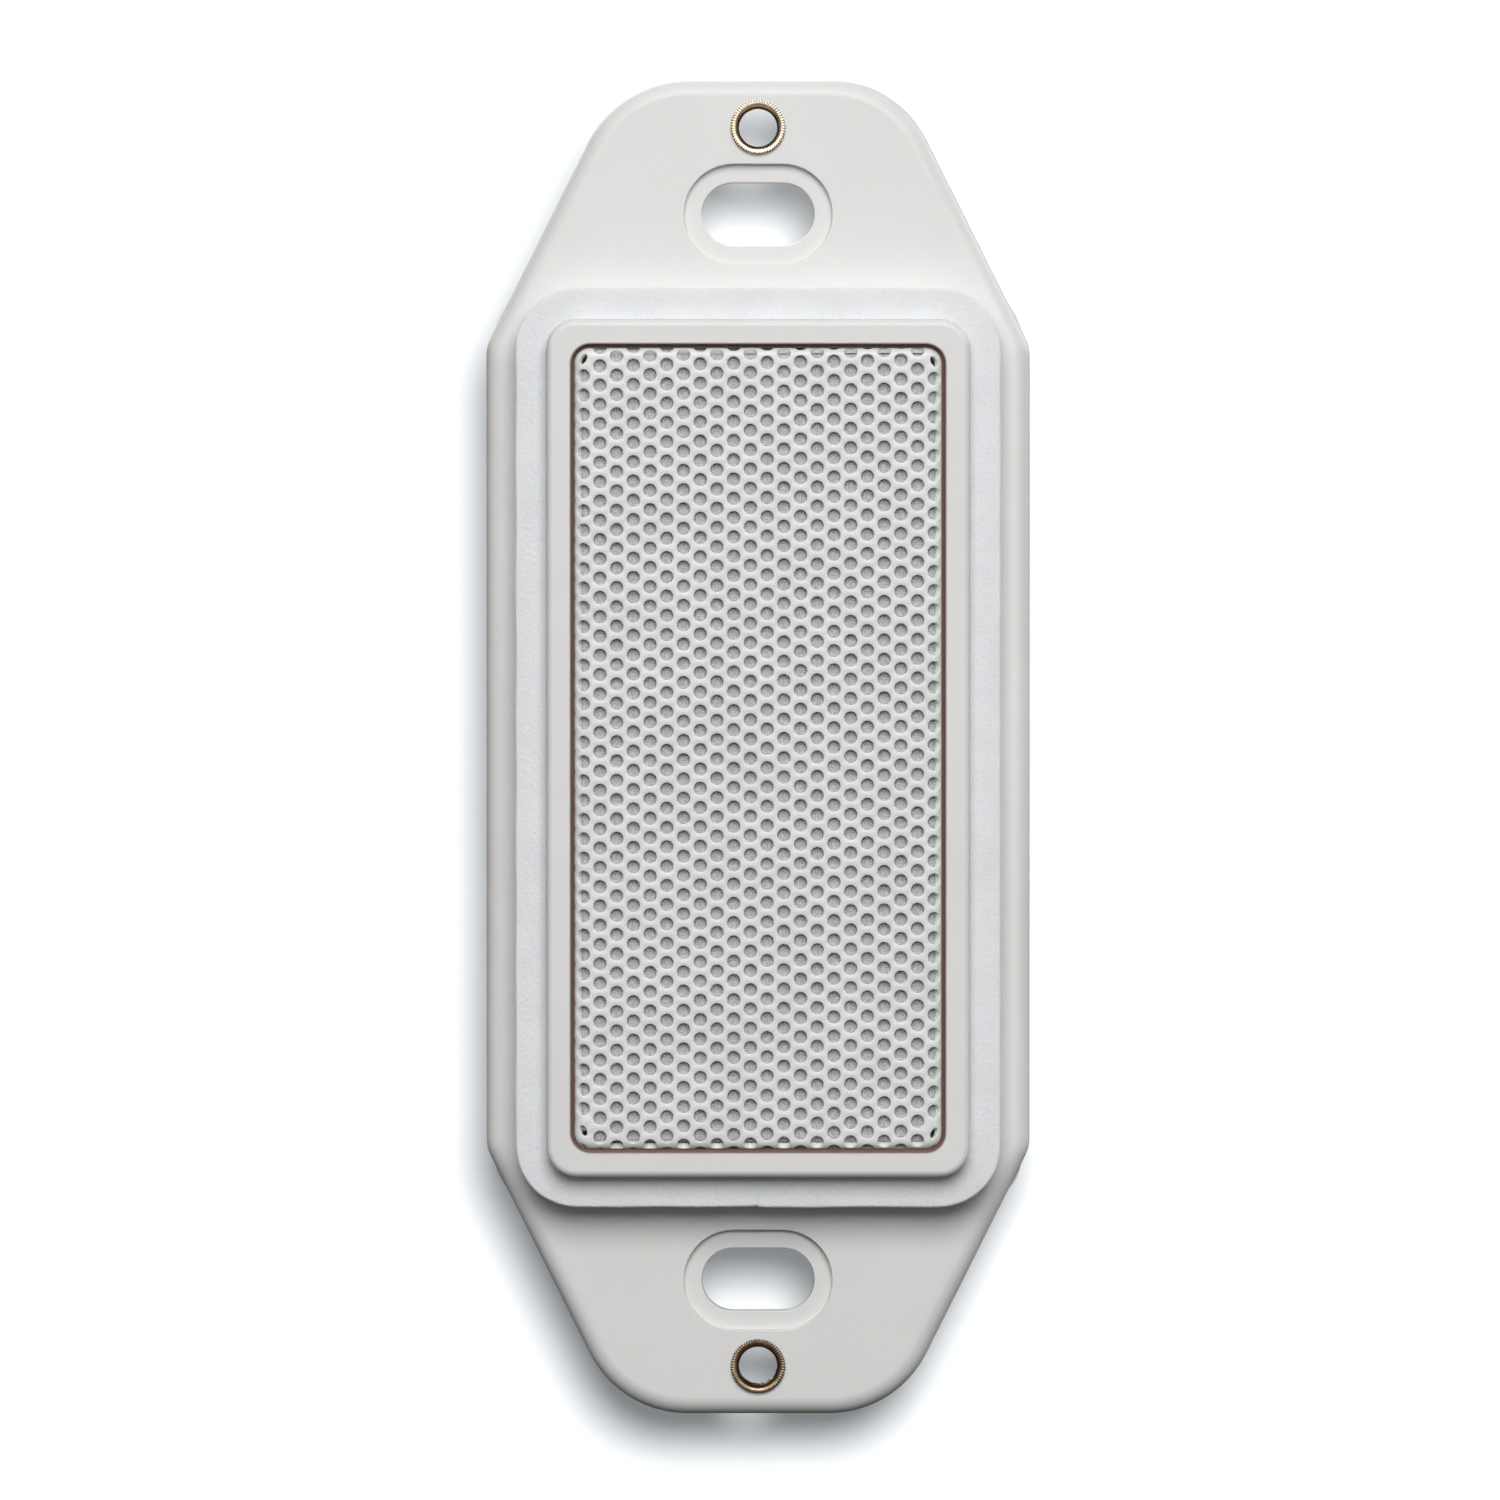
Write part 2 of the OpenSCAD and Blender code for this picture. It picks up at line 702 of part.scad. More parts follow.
// Axial capacitor across the inner side of the board, between the two magnets
module crossover_capacitor() color([0.15, 0.25, 0.5]) {
  lead_x = capacitor_len / 2 + 1.6;
  wire_r = 0.3;
  translate([-capacitor_len / 2, capacitor_y, 0])
    rotate([0, 90, 0]) cylinder(r = capacitor_r, h = capacitor_len);
  for (side = [-1, 1]) {
    translate([side * capacitor_len / 2, capacitor_y, 0])
      rotate([0, side * 90, 0]) cylinder(r = wire_r, h = lead_x - capacitor_len / 2);
    translate([side * lead_x, capacitor_y, 0]) sphere(r = wire_r);
    translate([side * lead_x, 0, 0]) bar_y(wire_r, capacitor_y, board_front);
  }
}

// ---- Terminal block --------------------------------------------------------------------------

module at_pole(side) {
  translate([side * pole_pitch / 2, 0, 0]) children();
}

module terminal_block() color([0.13, 0.14, 0.15]) difference() {
  entry_w = 3.1;
  entry_front = clamp_bottom + clamp_floor_t;
  entry_back = contact_y - ease;
  mouth_step = 0.4;
  mouth_depth = 0.5;
  well_ease = 0.15;
  slot_half_w = contact_half_w + contact_ease;
  slot_top = pin_z + pin_r + slip;
  box_between([-block_w / 2, board_back, block_low], [block_w / 2, block_back, block_high]);
  for (side = [-1, 1]) at_pole(side) {
    // Chamber that the clamp rises in, and the well that the screw's head turns in
    box_between(
      [-chamber_w / 2, clamp_bottom - 2 * ease, -chamber_h / 2],
      [chamber_w / 2, screw_head_y - slip, chamber_h / 2]);
    bar_y(screw_head_r + well_ease, screw_head_y - past / 2, block_back + past);
    // Wire entry from below, with a wider mouth
    box_between([-entry_w / 2, entry_front, block_low - past], [entry_w / 2, entry_back, 0]);
    box_between(
      [-entry_w / 2 - mouth_step, entry_front - mouth_step, block_low - past],
      [entry_w / 2 + mouth_step, entry_back + mouth_step, block_low + mouth_depth]);
    // Slot for the contact bar and its leg
    box_between([-slot_half_w, contact_y - slip, 0], [slot_half_w, contact_y + contact_t + slip, slot_top]);
    box_between(
      [-slot_half_w, board_back - past, pin_z - pin_r - slip],
      [slot_half_w, contact_y + contact_t, slot_top]);
  }
}

// Bent bars that the wires are pressed against, each with a leg through the board
module terminal_contacts() color([0.78, 0.76, 0.7]) for (side = [-1, 1]) at_pole(side) {
  bar_low = -1.6;
  leg_low = pin_z - 0.3;
  box_between([-contact_half_w, contact_y, bar_low], [contact_half_w, contact_y + contact_t, pin_z + pin_r]);
  box_between(
    [-contact_half_w, board_back + ease, leg_low],
    [contact_half_w, contact_y + contact_t / 2, pin_z + pin_r]);
  translate([0, 0, pin_z + ease / 2]) bar_y(pin_r - ease, board_front - past / 2, board_back + past);
}

// Captive screw: it turns in its place, with its tip on the contact bar
module terminal_screw(side) color([0.78, 0.78, 0.76]) at_pole(side) difference() {
  blade_w = 0.65;
  blade_depth = 0.75;
  union() {
    bar_y(screw_r, screw_tip_y, screw_head_y + screw_head_t / 2);
    bar_y(screw_head_r, screw_head_y, screw_head_y + screw_head_t);
  }
  box_between(
    [-screw_head_r - past, screw_head_y + screw_head_t - blade_depth, -blade_w / 2],
    [screw_head_r + past, screw_head_y + screw_head_t + past, blade_w / 2]);
}

// Steel cage that rises as its screw turns, and lifts the wire against the contact bar
module wire_clamp(side) color([0.7, 0.7, 0.68]) at_pole(side) difference() {
  box_between([-clamp_w / 2, clamp_bottom, -clamp_depth / 2], [clamp_w / 2, clamp_back, clamp_depth / 2]);
  box_between(
    [-clamp_w / 2 + clamp_wall, clamp_bottom + clamp_floor_t, -clamp_depth],
    [clamp_w / 2 - clamp_wall, clamp_top, clamp_depth]);
  bar_y(screw_r + contact_ease, clamp_top - past, clamp_back + past);
}

// ---- Leads and damping -----------------------------------------------------------------------

// A point on the smooth curve through a route's points, share of the way from point i to the next
function curve_point(route, i, share) =
  let (
    last = len(route) - 1,
    p1 = route[i],
    p2 = route[min(i + 1, last)],
    p0 = i > 0 ? route[i - 1] : 2 * p1 - p2,
    p3 = i + 2 > last ? 2 * p2 - p1 : route[i + 2]
  ) (2 * p1 + (p2 - p0) * share + (2 * p0 - 5 * p1 + 4 * p2 - p3) * share ^ 2
      + (3 * p1 - p0 - 3 * p2 + p3) * share ^ 3) / 2;

function curve(route, steps) = [
  for (i = [0:len(route) - 2], k = [0:steps - 1]) curve_point(route, i, k / steps),
  route[len(route) - 1]
];

// A round tube along a path that never runs along X
module swept_tube(path, r, sides = 8) {
  last = len(path) - 1;
  rings = [
    for (i = [0:last])
      let (
        ahead = unit(path[min(i + 1, last)] - path[max(i - 1, 0)]),
        side = unit(cross(ahead, [1, 0, 0])),
        other = cross(ahead, side)
      )
      for (k = [0:sides - 1])
        let (turn = 360 * k / sides)
        path[i] + r * (cos(turn) * side + sin(turn) * other)
  ];
  walls = [
    for (i = [0:last - 1], k = [0:sides - 1])
      let (next = (k + 1) % sides)
      [i * sides + k, (i + 1) * sides + k, (i + 1) * sides + next, i * sides + next]
  ];
  ends = [[for (k = [0:sides - 1]) k], [for (k = [sides - 1:-1:0]) last * sides + k]];
  polyhedron(rings, concat(walls, ends), convexity = 4);
}

module driver_leads(side) color([0.75, 0.15, 0.12]) mirror([0, 0, side > 0 ? 0 : 1])
  for (route = lead_routes) swept_tube(curve(route, 4), lead_r);

module damping_pads() color([0.9, 0.9, 0.88]) {
  pad_w = 24;
  pad_low = 9;
  pad_high = 32.6;
  pad_r = 2;
  for (side = [-1, 1])
    translate([0, 0, side * (pad_low + pad_high) / 2])
      along_y(driver_back + 3 * ease, cover_inside - ease) rounded_rect(pad_w, pad_high - pad_low, pad_r);
}

mounting_frame();
plate_screw_inserts();
wall_plate_gasket();
grille();
grille_scrim();
driver_gasket(1);  // upper_driver_gasket
surround(1);  // upper_surround
basket(1);  // upper_basket
top_plate(1);  // upper_top_plate
magnet(1);  // upper_magnet
yoke(1);  // upper_yoke
terminal_board(1);  // upper_terminal_board
solder_tabs(1);  // upper_solder_tabs
cone(1);  // upper_cone
dust_cap(1);  // upper_dust_cap
voice_coil(1);  // upper_voice_coil
driver_gasket(-1);  // lower_driver_gasket
surround(-1);  // lower_surround
basket(-1);  // lower_basket
top_plate(-1);  // lower_top_plate
magnet(-1);  // lower_magnet
yoke(-1);  // lower_yoke
terminal_board(-1);  // lower_terminal_board
solder_tabs(-1);  // lower_solder_tabs
cone(-1);  // lower_cone
dust_cap(-1);  // lower_dust_cap
voice_coil(-1);  // lower_voice_coil
driver_screws();
cover_gasket();
rear_cover();
cover_screws();
connection_board();
board_screws();
crossover_capacitor();
terminal_block();
terminal_contacts();
terminal_screw(-1);  // left_terminal_screw
terminal_screw(1);  // right_terminal_screw
wire_clamp(-1);  // left_wire_clamp
wire_clamp(1);  // right_wire_clamp
driver_leads(1);  // upper_driver_leads
driver_leads(-1);  // lower_driver_leads
damping_pads();
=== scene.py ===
"""Flush wall speaker insert: mesh work, finishes, light and camera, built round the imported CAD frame.

Everything is in metres in the CAD frame: X right, Z up, the front faces -Y, and the origin is at the
middle of the strap's back. Lengths below are written in millimetres and scaled by MM.
"""
import math

import bmesh
import bpy
import numpy as np
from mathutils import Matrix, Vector, geometry


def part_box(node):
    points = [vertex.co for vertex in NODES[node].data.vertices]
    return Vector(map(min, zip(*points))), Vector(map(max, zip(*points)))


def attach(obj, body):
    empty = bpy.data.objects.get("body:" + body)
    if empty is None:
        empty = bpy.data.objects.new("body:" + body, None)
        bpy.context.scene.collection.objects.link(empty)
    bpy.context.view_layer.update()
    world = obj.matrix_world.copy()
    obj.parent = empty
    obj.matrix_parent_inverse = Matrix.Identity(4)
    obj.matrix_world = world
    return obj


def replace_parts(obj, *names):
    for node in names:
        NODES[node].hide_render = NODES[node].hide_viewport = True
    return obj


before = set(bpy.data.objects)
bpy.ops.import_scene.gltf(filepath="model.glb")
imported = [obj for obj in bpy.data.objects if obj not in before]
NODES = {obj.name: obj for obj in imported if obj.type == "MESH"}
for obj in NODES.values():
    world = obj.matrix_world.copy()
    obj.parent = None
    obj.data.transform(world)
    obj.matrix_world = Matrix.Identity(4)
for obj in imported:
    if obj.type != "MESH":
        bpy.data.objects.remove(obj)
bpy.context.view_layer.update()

MM = 0.001
SPEAKER = "speaker"
FINISHES = {}
# The wave texture's scale that gives one band per unit of length
ONE_BAND = 0.31416


# ---- Node materials ----------------------------------------------------------------------------

class Nodes:
    """A material's node tree, with short names for the nodes that the finishes use."""

    def __init__(self, name):
        self.material = bpy.data.materials.new(name)
        self.material.use_nodes = True
        self.tree = self.material.node_tree
        self.shader = self.tree.nodes["Principled BSDF"]
        self.place = self.add("ShaderNodeTexCoord").outputs["Object"]
        self.height = None

    def add(self, kind, **settings):
        """A new node of a kind, with its settings."""
        node = self.tree.nodes.new(kind)
        for key, value in settings.items():
            setattr(node, key, value)
        return node

    def link(self, source, target):
        self.tree.links.new(source, target)
        return target

    def mapped(self, size_mm):
        """Object coordinates in units of size_mm, which is one length or one per axis."""
        sizes = size_mm if isinstance(size_mm, tuple) else (size_mm,) * 3
        node = self.add("ShaderNodeMapping")
        node.inputs["Scale"].default_value = [1 / (s * MM) for s in sizes]
        self.link(self.place, node.inputs["Vector"])
        return node.outputs["Vector"]

    def axis(self, letter):
        """How far a point lies from the frame's middle along an axis, in mm."""
        split = self.add("ShaderNodeSeparateXYZ")
        self.link(self.mapped(1.0), split.inputs[0])
        return self.math("ABSOLUTE", split.outputs[letter], 0.0)

    def past_outline(self, half_w, half_h, r):
        """How far a point lies outside a rounded rectangle in XZ, in mm."""
        across = self.math("MAXIMUM", self.math("SUBTRACT", self.axis("X"), half_w - r), 0.0)
        up = self.math("MAXIMUM", self.math("SUBTRACT", self.axis("Z"), half_h - r), 0.0)
        square = self.math("ADD", self.math("MULTIPLY", across, across), self.math("MULTIPLY", up, up))
        return self.math("SUBTRACT", self.math("SQRT", square, 0.0), r)

    def noise(self, size_mm, detail=3, roughness=0.55):
        """Cloudy noise whose features are about size_mm across."""
        node = self.add("ShaderNodeTexNoise")
        node.inputs["Scale"].default_value = 1
        node.inputs["Detail"].default_value = detail
        node.inputs["Roughness"].default_value = roughness
        self.link(self.mapped(size_mm), node.inputs["Vector"])
        return node.outputs["Fac"]

    def cells(self, size_mm):
        """How far a point lies from the middle of its cell, for foam pores."""
        node = self.add("ShaderNodeTexVoronoi", feature="F1")
        node.inputs["Scale"].default_value = 1
        self.link(self.mapped(size_mm), node.inputs["Vector"])
        return node.outputs["Distance"]

    def bands(self, size_mm, direction, distortion=0):
        """Soft bands across an axis, size_mm apart."""
        node = self.add("ShaderNodeTexWave", wave_type="BANDS", wave_profile="SIN",
                        bands_direction=direction)
        node.inputs["Scale"].default_value = ONE_BAND
        node.inputs["Distortion"].default_value = distortion
        node.inputs["Detail"].default_value = 1
        self.link(self.mapped(size_mm), node.inputs["Vector"])
        return node.outputs["Fac"]

    def math(self, operation, a, b):
        node = self.add("ShaderNodeMath", operation=operation)
        for value, socket in ((a, node.inputs[0]), (b, node.inputs[1])):
            if isinstance(value, (int, float)):
                socket.default_value = value
            else:
                self.link(value, socket)
        return node.outputs[0]

    def spread(self, value, low, high, to_low=0.0, to_high=1.0):
        """value from low..high spread to to_low..to_high, and held there outside it."""
        node = self.add("ShaderNodeMapRange")
        for key, number in (("From Min", low), ("From Max", high), ("To Min", to_low), ("To Max", to_high)):
            node.inputs[key].default_value = number
        self.link(value, node.inputs["Value"])
        return node.outputs["Result"]

    def tones(self, value, *colours):
        """Colours laid evenly along value, from 0 to 1."""
        node = self.add("ShaderNodeValToRGB")
        stops = node.color_ramp.elements
        while len(stops) < len(colours):
            stops.new(0.5)
        for i, colour in enumerate(colours):
            stops[i].position = i / (len(colours) - 1)
            stops[i].color = (*colour, 1)
        self.link(value, node.inputs["Fac"])
        return node.outputs["Color"]

    def mix(self, share, a, b):
        """a where share is 0, b where it is 1; a and b are colours or sockets."""
        node = self.add("ShaderNodeMix", data_type="RGBA")
        self.link(share, node.inputs["Factor"])
        for value, socket in ((a, node.inputs["A"]), (b, node.inputs["B"])):
            sockets = [s for s in node.inputs if s.name == socket.name and s.type == "RGBA"]
            if isinstance(value, tuple):
                sockets[0].default_value = (*value, 1)
            else:
                self.link(value, sockets[0])
        return [s for s in node.outputs if s.type == "RGBA"][0]

    def colour(self, socket):
        self.link(socket, self.shader.inputs["Base Color"])

    def roughness(self, value, low, high):
        self.link(self.spread(value, 0.25, 0.75, low, high), self.shader.inputs["Roughness"])

    def relief(self, height, depth_mm, strength=1.0):
        """One layer of bump, added over the layers before it."""
        node = self.add("ShaderNodeBump")
        node.inputs["Strength"].default_value = strength
        node.inputs["Distance"].default_value = depth_mm * MM
        self.link(height, node.inputs["Height"])
        if self.height is not None:
            self.link(self.height, node.inputs["Normal"])
        self.height = node.outputs["Normal"]
        self.link(self.height, self.shader.inputs["Normal"])

    def set(self, **values):
        for key, value in values.items():
            socket = self.shader.inputs[key.replace("_", " ")]
            socket.default_value = (*value, 1) if isinstance(value, tuple) else value


def finish(function):
    """Makes the finish that a function describes, under the record's name for it."""
    nodes = Nodes(function.__name__)
    function(nodes)
    FINISHES[function.__name__] = nodes.material
    return function


def grey(level, warm=0.0, green=0.0):
    """A linear colour near a grey level, a little warmer or greener."""
    return (level * (1 + warm), level * (1 + green), level * (1 - warm))


# Dark brown painted along the gap round the grille, as painted shade for that gap
GAP_SHADE_BROWN = (0.17, 0.10, 0.08)
# Half width, half height and corner radius of the window and of the grille in it, in mm
WINDOW_OUTLINE = (14.525, 31.4, 1.5)
GRILLE_OUTLINE = (14.375, 31.25, 1.3)


@finish
def frame_plastic(n):
    cloud = n.noise(14, detail=2)
    plastic = n.tones(n.spread(cloud, 0.3, 0.7), grey(0.735, 0.018, 0.004), grey(0.765, 0.014, 0.004))
    # Dark brown is painted on the window's wall and rounded lip round the grille: painted shade for the gap
    # between grille and wall
    beyond = n.math("ADD", n.past_outline(*WINDOW_OUTLINE), n.math("MULTIPLY", n.noise(1.5), 0.06))
    gap_shade = n.math("MULTIPLY", n.spread(beyond, -0.5, -0.45), n.spread(beyond, 0.14, 0.22, 1, 0))
    gap_shade = n.math("MULTIPLY", gap_shade, n.spread(n.axis("Y"), 8.44, 8.5, 1, 0.5))
    n.colour(n.mix(gap_shade, plastic, GAP_SHADE_BROWN))
    n.roughness(n.noise(1.1), 0.36, 0.46)
    n.relief(n.noise(0.22, detail=4), 0.006)
    n.relief(n.noise(6, detail=1), 0.03, 0.5)
    n.set(IOR=1.46, Subsurface_Weight=0.06, Subsurface_Scale=0.001)


@finish
def gasket_foam(n):
    pores = n.cells(0.28)
    cloud = n.noise(3.5, detail=3)
    base = n.tones(n.spread(cloud, 0.3, 0.7), (0.765, 0.77, 0.785), (0.81, 0.815, 0.83))
    # The pores are painted darker than the foam round them: painted shade in their pits
    n.colour(n.mix(n.spread(pores, 0.05, 0.3, 0.35, 0.0), base, (0.56, 0.58, 0.60)))
    n.roughness(n.noise(0.8), 0.82, 0.95)
    n.relief(pores, 0.05, 0.6)
    n.relief(n.noise(1.6, detail=3), 0.05, 0.6)
    n.set(Sheen_Weight=0.15, Sheen_Roughness=0.5, Subsurface_Weight=0.1, Subsurface_Scale=0.0012)


@finish
def grille_paint(n):
    cloud = n.noise(4, detail=3)
    fine = n.noise(0.5, detail=2)
    shade = n.math("ADD", n.math("MULTIPLY", cloud, 0.7), n.math("MULTIPLY", fine, 0.3))
    paint = n.tones(n.spread(shade, 0.35, 0.65), (0.72, 0.74, 0.71), (0.79, 0.805, 0.78))
    # The grille's folded edge is painted dark brown deep in the gap to the window's wall: painted shade
    gap_shade = n.math("MULTIPLY", n.spread(n.past_outline(*GRILLE_OUTLINE), -0.06, -0.02),
                  n.spread(n.axis("Y"), 7.6, 7.9, 1, 0))
    n.colour(n.mix(gap_shade, paint, GAP_SHADE_BROWN))
    n.roughness(n.noise(0.35), 0.3, 0.48)
    n.relief(n.noise(0.3, detail=2), 0.02, 0.6)
    n.set(IOR=1.5, Coat_Weight=0.15, Coat_Roughness=0.35)


@finish
def scrim_cloth(n):
    """A plain weave of fine yarns, speckled where the yarns are fuller or thinner."""
    warp = n.bands(0.14, "X", 0.6)
    weft = n.bands(0.14, "Z", 0.6)
    weave = n.math("MULTIPLY", warp, weft)
    fleck = n.noise(0.3, detail=4, roughness=0.75)
    cloud = n.noise(5, detail=2)
    yarn = n.tones(n.spread(fleck, 0.3, 0.7), (0.40, 0.40, 0.395), (0.56, 0.56, 0.555), (0.76, 0.76, 0.77))
    # Between the yarns the colour is painted darker: painted shade in the gaps of the weave
    n.colour(n.mix(n.spread(weave, 0.0, 0.5, 0.25, 0.0), yarn, (0.32, 0.32, 0.32)))
    n.link(n.spread(weave, 0.02, 0.2, 0.82, 1.0), n.shader.inputs["Alpha"])
    n.roughness(cloud, 0.8, 0.95)
    n.relief(weave, 0.05, 0.8)
    n.relief(fleck, 0.03, 0.5)
    n.set(Sheen_Weight=0.2, Sheen_Roughness=0.4)


@finish
def insert_brass(n):
    turning = n.noise((0.9, 0.05, 0.9), detail=3)
    stain = n.noise(0.8, detail=4)
    # The brass is painted darker and browner towards the bottom, so the lower insert is much darker than the
    # upper one
    where = n.add("ShaderNodeSeparateXYZ")
    n.link(n.mapped(1.0), where.inputs[0])
    lower_share = n.spread(where.outputs["Z"], -40, 40, 0.85, 0.0)
    bright = n.tones(n.spread(stain, 0.3, 0.7), (0.60, 0.45, 0.29), (0.74, 0.59, 0.42), (0.80, 0.67, 0.52))
    dull = n.tones(n.spread(stain, 0.3, 0.7), (0.12, 0.08, 0.05), (0.24, 0.165, 0.11), (0.36, 0.26, 0.17))
    face = n.mix(lower_share, bright, dull)
    # The bore below the countersink is painted dark brown: painted shade inside the bore
    bore_shade = n.math("MULTIPLY", n.spread(n.axis("Y"), 3.05, 3.22, 1, 0), n.spread(n.axis("Y"), 0.1, 0.3))
    n.colour(n.mix(bore_shade, face, (0.17, 0.105, 0.05)))
    n.roughness(turning, 0.26, 0.46)
    n.relief(turning, 0.01, 0.5)
    n.set(Metallic=1.0)


@finish
def seal_foam(n):
    pores = n.cells(0.2)
    n.colour(n.tones(n.spread(n.noise(2, detail=3), 0.3, 0.7), (0.028, 0.028, 0.030), (0.052, 0.052, 0.055)))
    n.roughness(n.noise(0.6), 0.8, 0.95)
    n.relief(pores, 0.05, 0.7)
    n.set(Sheen_Weight=0.25, Sheen_Roughness=0.5)


@finish
def surround_rubber(n):
    n.colour(n.tones(n.spread(n.noise(3), 0.3, 0.7), (0.020, 0.020, 0.021), (0.034, 0.034, 0.036)))
    n.roughness(n.noise(0.5), 0.5, 0.66)
    n.relief(n.noise(0.15, detail=3), 0.01, 0.6)
    n.set(Sheen_Weight=0.2)


@finish
def basket_steel(n):
    stain = n.spread(n.noise(1.5, detail=4), 0.3, 0.7)
    n.colour(n.tones(stain, (0.035, 0.036, 0.038), (0.060, 0.061, 0.064)))
    n.roughness(n.noise(0.4), 0.32, 0.5)
    n.relief(n.noise(0.25, detail=3), 0.015, 0.6)
    n.set(Metallic=0.3, Coat_Weight=0.2, Coat_Roughness=0.3)


@finish
def zinc_steel(n):
    grain = n.noise((0.12, 1.2, 0.12), detail=4)
    n.colour(n.tones(n.spread(n.noise(0.9, detail=4), 0.3, 0.7), (0.50, 0.51, 0.52), (0.70, 0.70, 0.69)))
    n.roughness(grain, 0.34, 0.5)
    n.relief(grain, 0.008, 0.5)
    n.set(Metallic=1.0)


@finish
def ferrite(n):
    stain = n.spread(n.noise(1.0, detail=5), 0.3, 0.7)
    n.colour(n.tones(stain, (0.032, 0.031, 0.030), (0.075, 0.073, 0.070)))
    n.roughness(n.noise(0.3), 0.55, 0.8)
    n.relief(n.noise(0.2, detail=4), 0.03, 0.7)
    n.set(Specular_IOR_Level=0.4)


@finish
def cone_plastic(n):
    rings = n.noise((3, 0.25, 3), detail=2)
    n.colour(n.tones(n.spread(n.noise(2, detail=3), 0.3, 0.7), (0.030, 0.030, 0.032), (0.055, 0.055, 0.058)))
    n.roughness(n.noise(0.5), 0.38, 0.56)
    n.relief(rings, 0.02, 0.5)
    n.set(IOR=1.49)


@finish
def coil_copper(n):
    winding = n.bands(0.12, "Y")
    # The copper is painted darker in the grooves between turns: painted shade
    n.colour(n.tones(n.spread(winding, 0.2, 0.8), (0.30, 0.11, 0.045), (0.74, 0.33, 0.16)))
    n.roughness(n.noise(0.3), 0.25, 0.4)
    n.relief(winding, 0.03, 0.8)
    n.set(Metallic=0.9)


@finish
def fibre_board(n):
    strands = n.noise((1.6, 0.15, 0.15), detail=3)
    n.colour(n.tones(n.spread(strands, 0.3, 0.7), (0.16, 0.085, 0.035), (0.30, 0.17, 0.075)))
    n.roughness(n.noise(0.4), 0.5, 0.7)
    n.relief(strands, 0.02, 0.6)
    n.set(IOR=1.5)


@finish
def tinned_metal(n):
    n.colour(n.tones(n.spread(n.noise(0.7, detail=4), 0.3, 0.7), (0.56, 0.56, 0.55), (0.80, 0.79, 0.76)))
    n.roughness(n.noise(0.3), 0.18, 0.38)
    n.relief(n.noise(0.5, detail=3), 0.02, 0.5)
    n.set(Metallic=1.0)


@finish
def cover_plastic(n):
    spark = n.noise(0.28, detail=5, roughness=0.7)
    cloud = n.noise(11, detail=2)
    n.colour(n.tones(n.spread(cloud, 0.3, 0.7), grey(0.70, 0.018, 0.004), grey(0.745, 0.014, 0.004)))
    n.roughness(n.noise(0.9), 0.48, 0.62)
    n.relief(spark, 0.03, 0.7)
    n.relief(n.noise(7, detail=1), 0.04, 0.5)
    n.set(IOR=1.46, Subsurface_Weight=0.05, Subsurface_Scale=0.001)


@finish
def circuit_board(n):
    weave = n.math("MULTIPLY", n.bands(0.5, "X"), n.bands(0.5, "Z"))
    n.colour(n.tones(n.spread(n.noise(3, detail=3), 0.3, 0.7), (0.012, 0.085, 0.035), (0.020, 0.13, 0.055)))
    n.roughness(n.noise(0.8), 0.25, 0.4)
    n.relief(weave, 0.01, 0.5)
    n.set(Coat_Weight=0.4, Coat_Roughness=0.2)


@finish
def capacitor_sleeve(n):
    n.colour(n.tones(n.spread(n.noise(2, detail=3), 0.3, 0.7), (0.020, 0.030, 0.085), (0.032, 0.048, 0.12)))
    n.roughness(n.noise(0.7), 0.24, 0.36)
    n.relief(n.noise((2.5, 2.5, 0.5), detail=2), 0.03, 0.5)
    n.set(IOR=1.52)


@finish
def block_plastic(n):
    n.colour(n.tones(n.spread(n.noise(4, detail=2), 0.3, 0.7), (0.025, 0.026, 0.027), (0.042, 0.043, 0.045)))
    n.roughness(n.noise(0.7), 0.4, 0.56)
    n.relief(n.noise(0.2, detail=4), 0.012, 0.6)
    n.set(IOR=1.5)


@finish
def lead_insulation(n):
    n.colour(n.tones(n.spread(n.noise(1.2, detail=2), 0.3, 0.7), (0.28, 0.015, 0.012), (0.42, 0.028, 0.020)))
    n.roughness(n.noise(0.6), 0.35, 0.5)
    n.relief(n.noise((0.4, 3, 0.4), detail=2), 0.01, 0.5)
    n.set(IOR=1.5)


@finish
def damping_fleece(n):
    fibres = n.noise(0.35, detail=6, roughness=0.8)
    n.colour(n.tones(n.spread(fibres, 0.3, 0.7), (0.42, 0.42, 0.40), (0.72, 0.71, 0.68)))
    n.roughness(n.noise(1.5), 0.85, 1.0)
    n.relief(fibres, 0.12, 0.9)
    n.set(Sheen_Weight=0.5, Sheen_Roughness=0.4)


# ---- Mesh helpers ------------------------------------------------------------------------------

def make_piece(name, points, faces, finish_name, body=SPEAKER, sharp_deg=35.0):
    """A mesh object from points in metres, on a body, smooth but for edges sharper than sharp_deg."""
    mesh = bpy.data.meshes.new(name)
    mesh.from_pydata([tuple(p) for p in points], [], [tuple(f) for f in faces])
    mesh.validate()
    obj = bpy.data.objects.new(name, mesh)
    bpy.context.scene.collection.objects.link(obj)
    return dress(obj, finish_name, body, sharp_deg)


def dress(obj, finish_name, body, sharp_deg):
    """Closes the normals outwards, sets shading and the finish, and puts the object on its body."""
    bm = bmesh.new()
    bm.from_mesh(obj.data)
    bmesh.ops.recalc_face_normals(bm, faces=bm.faces)
    for face in bm.faces:
        face.smooth = True
    for edge in bm.edges:
        bent = len(edge.link_faces) == 2 and edge.calc_face_angle() > math.radians(sharp_deg)
        edge.smooth = not bent
    bm.to_mesh(obj.data)
    bm.free()
    obj.data.materials.clear()
    obj.data.materials.append(FINISHES[finish_name])
    weigh = obj.modifiers.new("even normals", "WEIGHTED_NORMAL")
    weigh.keep_sharp = True
    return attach(obj, body)


